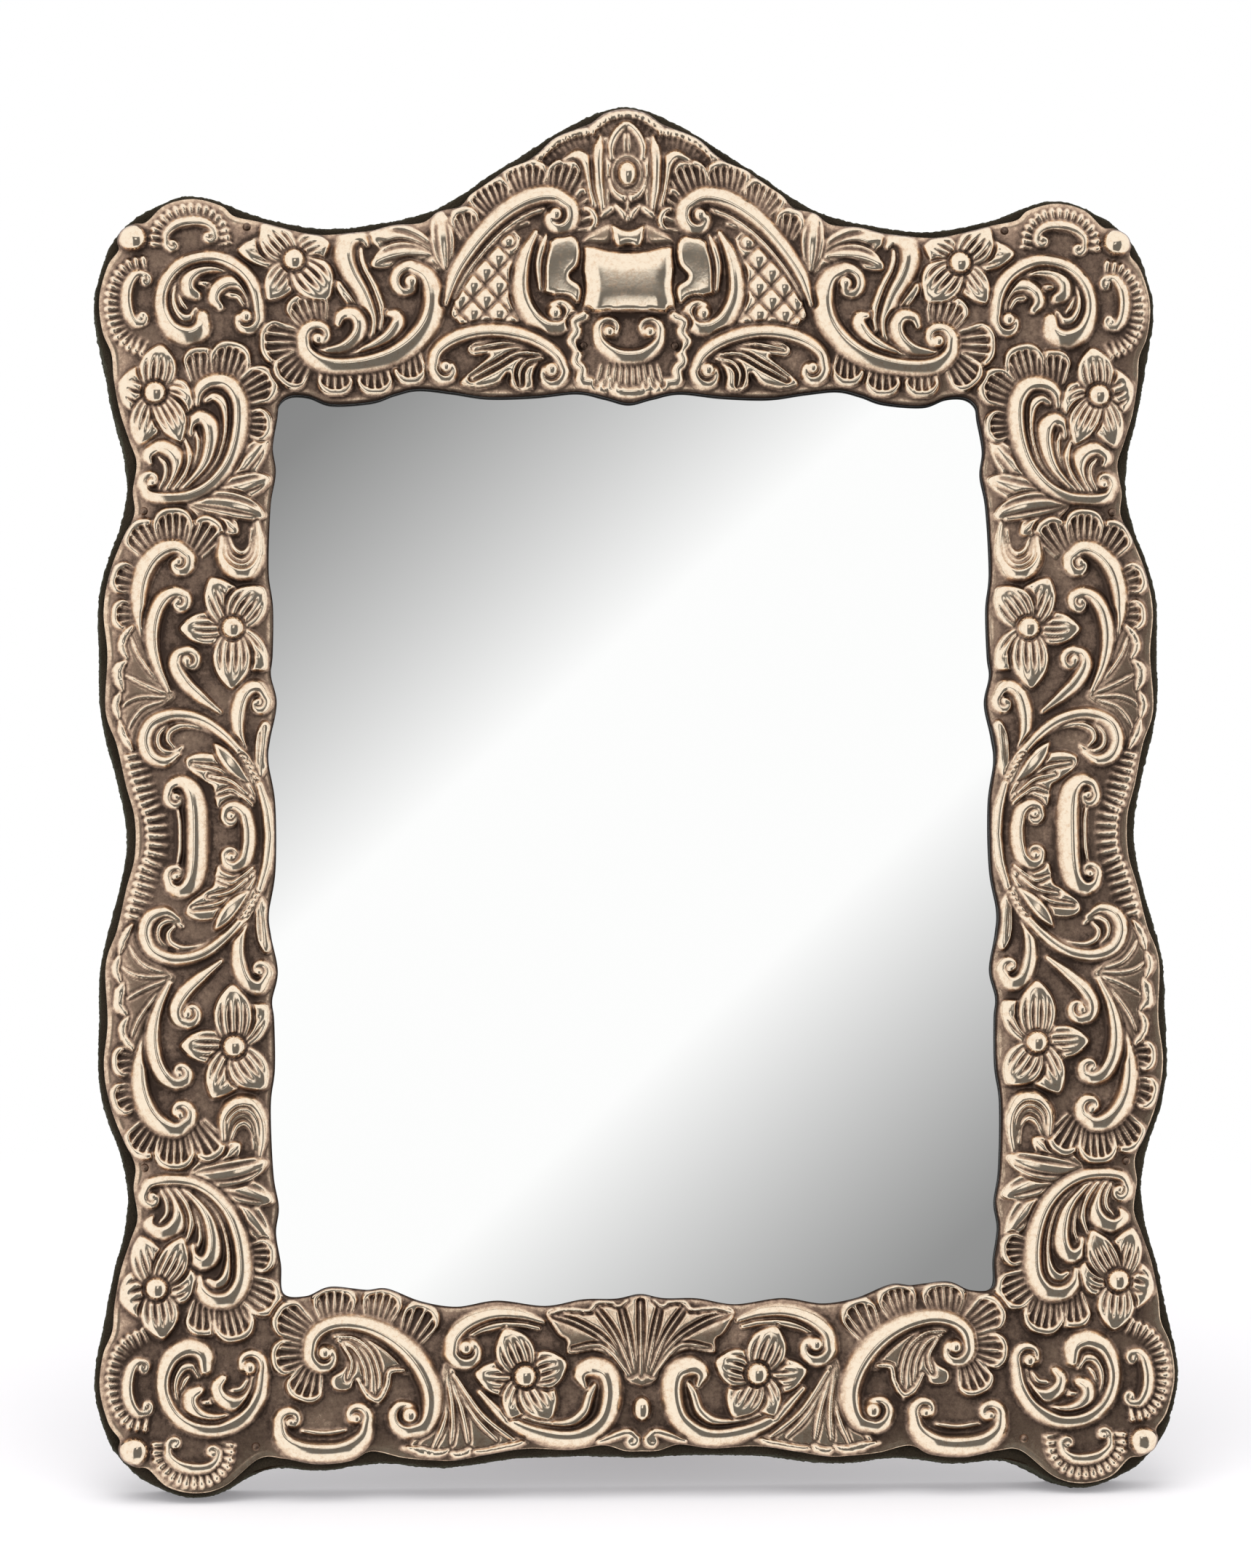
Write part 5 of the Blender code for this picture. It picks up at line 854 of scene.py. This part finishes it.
def on_plate(outline, depth):
    """Points of a closed outline at a depth behind the plate's front."""
    return np.column_stack([outline[:, 0], np.broadcast_to(depth, len(outline)), outline[:, 1]])


def grown(outline, distance):
    """A closed outline that runs counter-clockwise, moved out along its normals."""
    along = np.roll(outline, -1, axis=0) - np.roll(outline, 1, axis=0)
    along /= np.hypot(*along.T)[:, None]
    return outline + np.column_stack([along[:, 1], -along[:, 0]]) * np.reshape(distance, (-1, 1))


def softened(values, reach):
    """Values round a closed outline, each averaged over its neighbours."""
    shifts = range(-reach, reach + 1)
    return sum(np.roll(values, shift, axis=0) for shift in shifts) / len(shifts)


def silver_mesh(relief):
    """The pressed front: rows from the sight edge to the outer edge, a flat back and a turned-in edge."""
    inner, outer = whole(sight_half(COLUMNS)), whole(outer_half(COLUMNS))
    share = np.linspace(0, 1, ROWS)[:, None, None]
    flat = inner + (outer - inner) * share
    height = relief.at(relief.height, flat[..., 0], flat[..., 1])
    front = np.dstack([flat[..., 0], -GAP - SILVER_RIM - height, flat[..., 1]])
    behind = grown(inner, SILVER_SHEET)
    edges = ((outer, -GAP), (behind, -GAP), (behind, SIGHT_TURN), (inner, SIGHT_TURN))
    turned = [on_plate(outline, depth) for outline, depth in edges]
    # Painted shade: the back and turned edges are set past 1, which the silver finish turns near black
    edge_shade = np.full((len(turned), len(inner)), TURNED_EDGE_SHADE)
    tarnish_and_shade = np.concatenate([relief.at(relief.tarnish_and_shade, flat[..., 0], flat[..., 1]), edge_shade])
    points = np.concatenate([front, turned]).reshape(-1, 3)
    faces = band_faces([*range(ROWS + len(turned)), 0], len(inner))
    return grid_mesh("silver_front", points, faces, {"tarnish_and_shade": tarnish_and_shade})


def glass_mesh(solid, plate):
    """The mirror plate, its edge rebated so that its face comes up behind the silver."""
    corners = np.array([plate.inverted() @ vertex.co for vertex in solid.data.vertices])
    across, low, high = sight_box(GLASS_REACH)
    face = np.array([(-across, low), (across, low), (across, high), (-across, high)])
    (left, front, bottom), (right, back, top) = corners.min(0), corners.max(0)
    seat = np.array([(left, bottom), (right, bottom), (right, top), (left, top)])
    loops = ((seat, back), (seat, front), (face, front), (face, GLASS_FACE))
    points = np.vstack([on_plate(outline, depth) for outline, depth in loops])
    ends = np.array([(3, 2, 1, 0), (12, 13, 14, 15)])
    mesh = grid_mesh("glass", points, np.vstack([band_faces(range(len(loops)), len(face)), ends]))
    mesh.shade_flat()
    mesh.transform(plate)
    return mesh


def hole_half(total):
    """Left half of the opening for the back panel, from the middle of its top to the middle of its bottom."""
    across, low, high = sight_box(PANEL_REACH)
    corners = np.array([(0, high), (-across, high), (-across, low), (0, low)])
    return joined([evenly(corners[i:i + 2], count + 1) for i, count in enumerate(section_counts(total))])


def velvet_mesh(plate):
    """The velvet round the board: soft edges and an uneven pile, flat where it stands on the floor."""
    edge = grown(softened(whole(outer_half(VELVET_COLUMNS)), VELVET_EVENED), VELVET_MARGIN)
    columns = len(edge)
    hole = whole(hole_half(VELVET_COLUMNS))
    inside = grown(edge, -VELVET_RIM)
    chance = np.random.default_rng(7)
    # Each round of the rim: how far out from the edge, and how deep
    rounds = [(-VELVET_LAP, -0.04), (-VELVET_LAP, -0.16), (-1.4, -0.16), (-0.6, -0.1), (-0.25, 0.1),
              (-0.06, 0.4), (0, 0.9)]
    rounds += [(0, depth) for depth in np.linspace(1.4, 10.3, 16)]
    rounds += [(-0.08, 10.9), (-0.35, 11.35), (-0.9, VELVET_BACK)]
    loops = []
    for out, depth in rounds:
        pile = softened(chance.normal(0, 0.3, columns), 1) + chance.normal(0, 0.06, columns)
        loops.append(on_plate(grown(edge, out + 0.5 * pile * (out > -0.6)), depth + 0.2 * pile * (out > -1)))
    seam = loops[-1]
    for share in np.linspace(0.15, 1, 9):
        flat = seam[:, [0, 2]] + (hole - seam[:, [0, 2]]) * share
        loops.append(on_plate(flat, VELVET_BACK + 0.04 * chance.normal(0, 1, columns) * (share < 1)))
    loops.append(on_plate(hole, FLANGE_FRONT))
    loops.append(on_plate(inside, FLANGE_FRONT))
    loops.append(on_plate(inside, -0.04))
    faces = band_faces([*range(len(loops)), 0], columns)
    mesh = grid_mesh("velvet", np.vstack(loops), faces)
    mesh.transform(plate)
    places = np.empty(3 * len(mesh.vertices), np.float32)
    mesh.vertices.foreach_get("co", places)
    lowest = np.zeros(len(mesh.vertices))
    lowest[-2 * columns:] = VELVET_STAND
    places[2::3] = np.maximum(places[2::3], lowest)
    mesh.vertices.foreach_set("co", places)
    return mesh


def cloth_mesh(solid):
    """A solid's shape as one closed skin, with none of the solid's own normals."""
    skin = bmesh.new()
    skin.from_mesh(solid.data)
    bmesh.ops.remove_doubles(skin, verts=skin.verts, dist=1e-6)
    mesh = bpy.data.meshes.new("cloth")
    skin.to_mesh(mesh)
    skin.free()
    own = mesh.attributes.get("custom_normal")
    if own:
        mesh.attributes.remove(own)
    mesh.shade_smooth()
    return mesh


def fill(tree, made, inputs):
    """Links or sets a node's inputs."""
    for key, value in inputs.items():
        if isinstance(value, bpy.types.NodeSocket):
            tree.links.new(value, made.inputs[key])
        else:
            made.inputs[key].default_value = value


def node(tree, kind, inputs=None, **settings):
    made = tree.nodes.new(kind)
    for key, value in settings.items():
        setattr(made, key, value)
    fill(tree, made, inputs or {})
    return made


def new_material(name):
    made = bpy.data.materials.new(name)
    made.use_nodes = True
    return made, made.node_tree, made.node_tree.nodes["Principled BSDF"]


def maths(tree, operation, a, b, clamp=False):
    return node(tree, "ShaderNodeMath", {0: a, 1: b}, operation=operation, use_clamp=clamp).outputs[0]


def noise(tree, scale, detail=3.0, rough=0.5, stretch=None):
    """A noise over the object's own coordinates, in metres."""
    place = node(tree, "ShaderNodeTexCoord").outputs["Object"]
    if stretch:
        place = node(tree, "ShaderNodeMapping", {"Vector": place, "Scale": stretch}).outputs[0]
    inputs = {"Vector": place, "Scale": scale, "Detail": detail, "Roughness": rough}
    return node(tree, "ShaderNodeTexNoise", inputs).outputs["Fac"]


def ramp(tree, value, stops):
    made = node(tree, "ShaderNodeValToRGB", {"Fac": value})
    marks = made.color_ramp.elements
    while len(marks) < len(stops):
        marks.new(0.5)
    for mark, (place, color) in zip(marks, stops):
        mark.position = place
        mark.color = (*color, 1)
    return made.outputs["Color"]


def spread(tree, value, low, high, start=0.0, end=1.0):
    """A value from start to end brought to low to high."""
    inputs = {"Value": value, "From Min": start, "From Max": end, "To Min": low, "To Max": high}
    return node(tree, "ShaderNodeMapRange", inputs).outputs[0]


def roughen(tree, shader, height, strength, distance):
    bump = node(tree, "ShaderNodeBump", {"Height": height, "Strength": strength, "Distance": distance})
    fill(tree, shader, {"Normal": bump.outputs[0]})


def silver_finish(name, tarnish_and_shade=None):
    """Old silver, warm where it is rubbed and brown in its hollows, with painted shade near black where its
    value passes 1, on its turned edges, its back and along its sight edge.
    """
    made, tree, shader = new_material(name)
    if tarnish_and_shade is None:
        tarnish_and_shade = node(tree, "ShaderNodeAttribute", attribute_name="tarnish_and_shade").outputs["Fac"]
    patchy = spread(tree, noise(tree, 90, 4), 0.75, 1.25, 0.3, 0.7)
    specks = spread(tree, noise(tree, 900, 6, 0.8), -0.24, 0.26, 0.3, 0.7)
    amount = maths(tree, "ADD", maths(tree, "MULTIPLY", tarnish_and_shade, patchy), specks, True)
    color = ramp(tree, amount, [(0, (0.97, 0.825, 0.645)), (0.2, (0.85, 0.645, 0.465)),
                                (0.45, (0.49, 0.34, 0.245)), (0.7, (0.28, 0.19, 0.14)),
                                (1, (0.09, 0.06, 0.046))])
    # Painted shade: values from 1 to 1.4 scale the colour down to near black
    edge_shade = spread(tree, tarnish_and_shade, 1, 0.02, 1, 1.4)
    color = node(tree, "ShaderNodeVectorMath", {0: color, "Scale": edge_shade}, operation="SCALE").outputs[0]
    fill(tree, shader, {"Base Color": color, "Roughness": spread(tree, amount, 0.1, 0.5), "Metallic": 1})
    roughen(tree, shader, noise(tree, 900, 3), 0.06, 0.0002)
    return made


def velvet_finish():
    """Dark brown-green velvet with its pile brushed unevenly."""
    made, tree, shader = new_material("velvet")
    brushed = noise(tree, 120, 3)
    pile = noise(tree, 2600, 2, 0.7)
    shade = maths(tree, "ADD", maths(tree, "MULTIPLY", brushed, 0.5), maths(tree, "MULTIPLY", pile, 0.5))
    color = ramp(tree, shade, [(0.3, (0.018, 0.013, 0.008)), (0.7, (0.05, 0.038, 0.025))])
    fill(tree, shader, {"Base Color": color, "Roughness": spread(tree, pile, 0.85, 1),
                        "Specular IOR Level": 0.1, "Sheen Weight": 0.25, "Sheen Roughness": 0.35,
                        "Sheen Tint": (0.42, 0.5, 0.34, 1)})
    roughen(tree, shader, pile, 0.9, 0.0006)
    return made


def mirror_finish():
    made, tree, shader = new_material("mirror")
    fill(tree, shader, {"Base Color": (0.98, 0.985, 0.98, 1), "Metallic": 1,
                        "Roughness": spread(tree, noise(tree, 300), 0.004, 0.012)})
    return made


def wood_finish(name, shade=1.0):
    made, tree, shader = new_material(name)
    grain = noise(tree, 60, 5, 0.6, (6, 6, 0.5))
    colors = np.array([(0.17, 0.085, 0.04), (0.32, 0.18, 0.09), (0.42, 0.26, 0.14)]) * shade
    color = ramp(tree, grain, list(zip((0.3, 0.55, 0.75), colors)))
    fill(tree, shader, {"Base Color": color, "Roughness": spread(tree, grain, 0.5, 0.7),
                        "Specular IOR Level": 0.5 * shade})
    roughen(tree, shader, grain, 0.25, 0.0004)
    return made


def card_finish():
    made, tree, shader = new_material("card")
    fibre = noise(tree, 700, 4, 0.7)
    color = ramp(tree, fibre, [(0.3, (0.3, 0.25, 0.18)), (0.7, (0.42, 0.36, 0.27))])
    fill(tree, shader, {"Base Color": color, "Roughness": spread(tree, fibre, 0.85, 1)})
    roughen(tree, shader, fibre, 0.3, 0.0002)
    return made


def brass_finish():
    made, tree, shader = new_material("brass")
    dull = noise(tree, 220, 4, 0.6)
    color = ramp(tree, dull, [(0.35, (0.66, 0.46, 0.2)), (0.6, (0.5, 0.33, 0.14)), (0.8, (0.2, 0.12, 0.06))])
    fill(tree, shader, {"Base Color": color, "Roughness": spread(tree, dull, 0.28, 0.55, 0.3, 0.75),
                        "Metallic": 1})
    roughen(tree, shader, noise(tree, 1500, 2), 0.08, 0.0002)
    return made


# Stage

def glow_material():
    """Light of a card, set at its points."""
    made, tree, shader = new_material("glow")
    glow = node(tree, "ShaderNodeAttribute", attribute_name="glow").outputs["Fac"]
    light = node(tree, "ShaderNodeEmission", {"Color": (1, 1, 1, 1), "Strength": glow})
    fill(tree, tree.nodes["Material Output"], {"Surface": light.outputs[0]})
    return made


def card(name, points, glow, finish):
    """A card that only reflections see. points and glow are grids."""
    rows, columns = glow.shape
    index = np.arange(rows * columns).reshape(rows, columns)
    corners = (index[:-1, :-1], index[:-1, 1:], index[1:, 1:], index[1:, :-1])
    faces = np.column_stack([corner.ravel() for corner in corners])
    made = link(name, grid_mesh(name, points.reshape(-1, 3), faces, {"glow": glow}))
    made.data.materials.append(finish)
    for ray in ("camera", "diffuse", "shadow", "volume_scatter"):
        setattr(made, "visible_" + ray, False)


def dark_card(name, azimuths, elevations, edges, level, finish):
    """Part of a sphere round the object, dark in its middle and fading to white at its edges, in degrees."""
    azimuth, elevation = np.meshgrid(np.linspace(*azimuths, 60), np.linspace(*elevations, 60))
    fade = 1.0
    for angle, (low, high), edge in ((azimuth, azimuths, edges[0]), (elevation, elevations, edges[1])):
        fade = fade * ease(angle, low, low + edge) * (1 - ease(angle, high - edge, high))
    a, e = np.radians(azimuth), np.radians(elevation)
    around = np.dstack([np.sin(a) * np.cos(e), -np.cos(a) * np.cos(e), np.sin(e)])
    card(name, DARK_RADIUS * around + (0, 0, 0.15), 1 - (1 - level) * fade, finish)


def mirror_card(plate, camera, finish):
    """The pale room that the mirror shows: white across the middle, greyer to two corners."""
    x, z = np.meshgrid(np.linspace(-84, 84, 80), np.linspace(34, 242, 80))
    slope = x + 1.13 * (225 - z)
    shown = np.interp(slope, (-110, -70, 46, 154, 262, 300), (0.5, 0.545, 1, 1, 0.576, 0.53))
    eye = plate.inverted() @ camera.location
    depth = MIRROR_VIEW_AWAY - 3
    reach = 1 + depth / -eye.y
    spot = np.dstack([eye.x + (x - eye.x) * reach, np.full_like(x, -depth), eye.z + (z - eye.z) * reach])
    matrix = np.array(plate)
    points = spot.reshape(-1, 3) @ matrix[:3, :3].T + matrix[:3, 3]
    card("mirror_view", points.reshape(*x.shape, 3), shown ** 2.2, finish)


def make_floor():
    """White paper that shows only the shade near the object and is plain white further off."""
    made, tree, shader = new_material("floor")
    fill(tree, shader, {"Base Color": (0.8, 0.79, 0.8, 1), "Roughness": 1, "Specular IOR Level": 0,
                        "Emission Color": (0.97, 0.95, 1, 1), "Emission Strength": 0.22})
    white = node(tree, "ShaderNodeEmission", {"Color": (1, 1, 1, 1), "Strength": 1.0})
    place = node(tree, "ShaderNodeTexCoord").outputs["Object"]
    away = node(tree, "ShaderNodeVectorMath", {0: place}, operation="LENGTH").outputs["Value"]
    far = spread(tree, away, 0, 1, 0.16, 0.42)
    mixed = node(tree, "ShaderNodeMixShader", {0: far, 1: shader.outputs[0], 2: white.outputs[0]})
    fill(tree, tree.nodes["Material Output"], {"Surface": mixed.outputs[0]})
    half = 4.0
    corners = np.array([(-half, -half, 0), (half, -half, 0), (half, half, 0), (-half, half, 0)])
    floor = link("floor", grid_mesh("floor", corners, np.array([[0, 1, 2, 3]])))
    floor.data.materials.append(made)
    floor.visible_glossy = False


def make_world():
    """White for what the camera and reflections see, and a little less for the light that falls on things."""
    world = bpy.data.worlds.new("studio")
    bpy.context.scene.world = world
    world.use_nodes = True
    tree = world.node_tree
    path = node(tree, "ShaderNodeLightPath").outputs
    seen = maths(tree, "MAXIMUM", maths(tree, "MAXIMUM", path["Is Camera Ray"], path["Is Glossy Ray"]),
                 path["Is Transmission Ray"])
    fill(tree, tree.nodes["Background"], {"Strength": spread(tree, seen, 0.9, 1), "Color": (1, 1, 1, 1)})


def make_lamp(name, place, target, size, power):
    light = bpy.data.lights.new(name, "AREA")
    light.size = size
    light.energy = power
    made = link(name, light)
    made.location = place
    made.rotation_euler = (Vector(target) - Vector(place)).to_track_quat("-Z", "Y").to_euler()
    made.visible_glossy = False


def make_camera(plate):
    """The photograph's view."""
    level = math.cos(VIEW_ELEVATION)
    back = Vector((math.sin(VIEW_AZIMUTH) * level, -math.cos(VIEW_AZIMUTH) * level, math.sin(VIEW_ELEVATION)))
    right = Vector((0, 0, 1)).cross(back).normalized()
    up = back.cross(right)
    cosine, sine = math.cos(VIEW_ROLL), math.sin(VIEW_ROLL)
    turned = (right * cosine + up * sine, up * cosine - right * sine, back)
    camera = bpy.data.cameras.new("camera")
    camera.sensor_width = SENSOR
    camera.lens = FOCAL_PIXELS * SENSOR / PHOTO_HEIGHT
    made = link("camera", camera)
    target = plate @ Vector(VIEW_TARGET)
    turn = Matrix(turned).transposed().to_4x4()
    made.matrix_world = Matrix.Translation(target + back * VIEW_DISTANCE) @ turn
    bpy.context.scene.camera = made
    return made


# The scene

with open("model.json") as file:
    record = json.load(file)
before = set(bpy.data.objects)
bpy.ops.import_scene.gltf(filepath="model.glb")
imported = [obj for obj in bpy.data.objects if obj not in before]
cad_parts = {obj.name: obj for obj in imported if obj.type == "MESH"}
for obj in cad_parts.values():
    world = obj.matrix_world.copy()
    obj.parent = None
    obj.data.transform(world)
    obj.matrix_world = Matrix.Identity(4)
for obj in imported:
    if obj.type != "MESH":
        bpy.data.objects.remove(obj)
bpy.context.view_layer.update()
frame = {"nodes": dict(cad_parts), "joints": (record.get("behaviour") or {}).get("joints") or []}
nodes = frame["nodes"]
plate = plate_matrix(frame["joints"])

finishes = {"silver": silver_finish("silver"), "wood": wood_finish("wood"), "velvet": velvet_finish(),
            "mirror": mirror_finish(), "card": card_finish(), "brass": brass_finish()}
pin_finish = silver_finish("silver_pin", 0.75)
# The board shows only at its sight wall; it is made near black there as a painted shadow line
shadow_dark_wood = wood_finish("shadow_dark_wood", 0.06)
for finish, starts in ((pin_finish, ("mount_pin",)), (shadow_dark_wood, ("frame_board",)),
                       (finishes["wood"], ("back_panel", "strut_board")),
                       (finishes["card"], ("packing_card",)),
                       (finishes["brass"], ("hinge", "panel_screw", "strut_screw", "button_screw",
                                            "turn_button"))):
    for name, part in nodes.items():
        if name.startswith(starts):
            part.data.materials.clear()
            part.data.materials.append(finish)

mesh = silver_mesh(drawn_relief())
mesh.transform(plate)
silver = link("pressed_silver", mesh)
mesh.materials.append(finishes["silver"])
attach(silver, "frame")
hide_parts("silver_mount")

glass = link("mirror_glass", glass_mesh(nodes["mirror_plate"], plate))
arris = glass.modifiers.new("arris", "BEVEL")
arris.width = GLASS_BEVEL
arris.segments = 2
arris.harden_normals = True
glass.data.materials.append(finishes["mirror"])
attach(glass, "frame")
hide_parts("mirror_plate")

velvet = link("board_velvet", velvet_mesh(plate))
velvet.data.materials.append(finishes["velvet"])
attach(velvet, "frame")
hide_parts("velvet_cover")

for name, body, board, flat, area in (("back_panel_velvet", "frame", "back_panel", (0.1684, 0.209), None),
                                      ("strut_velvet", "strut", "strut_board", (0.0726, 0.182), 0.0106)):
    cloth = link(name.replace("_velvet", "_cloth"), cloth_mesh(nodes[name]))
    soft = cloth.modifiers.new("soft", "BEVEL")
    soft.width = CLOTH_BEVEL
    soft.segments = 3
    soft.limit_method = "ANGLE"
    soft.harden_normals = True
    cloth.data.materials.append(finishes["velvet"])
    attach(cloth, body)
    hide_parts(name)

camera = make_camera(plate)
glow = glow_material()
dark_card("dark_side", (-22, 56), (-60, 38), (8, 8), 0.16, glow)
mirror_card(plate, camera, glow)
make_floor()
make_world()
make_lamp("top_lamp", (-0.2, -0.5, 1.6), (0, 0, 0.1), 1.2, 9)
bpy.context.scene.view_settings.view_transform = "Standard"
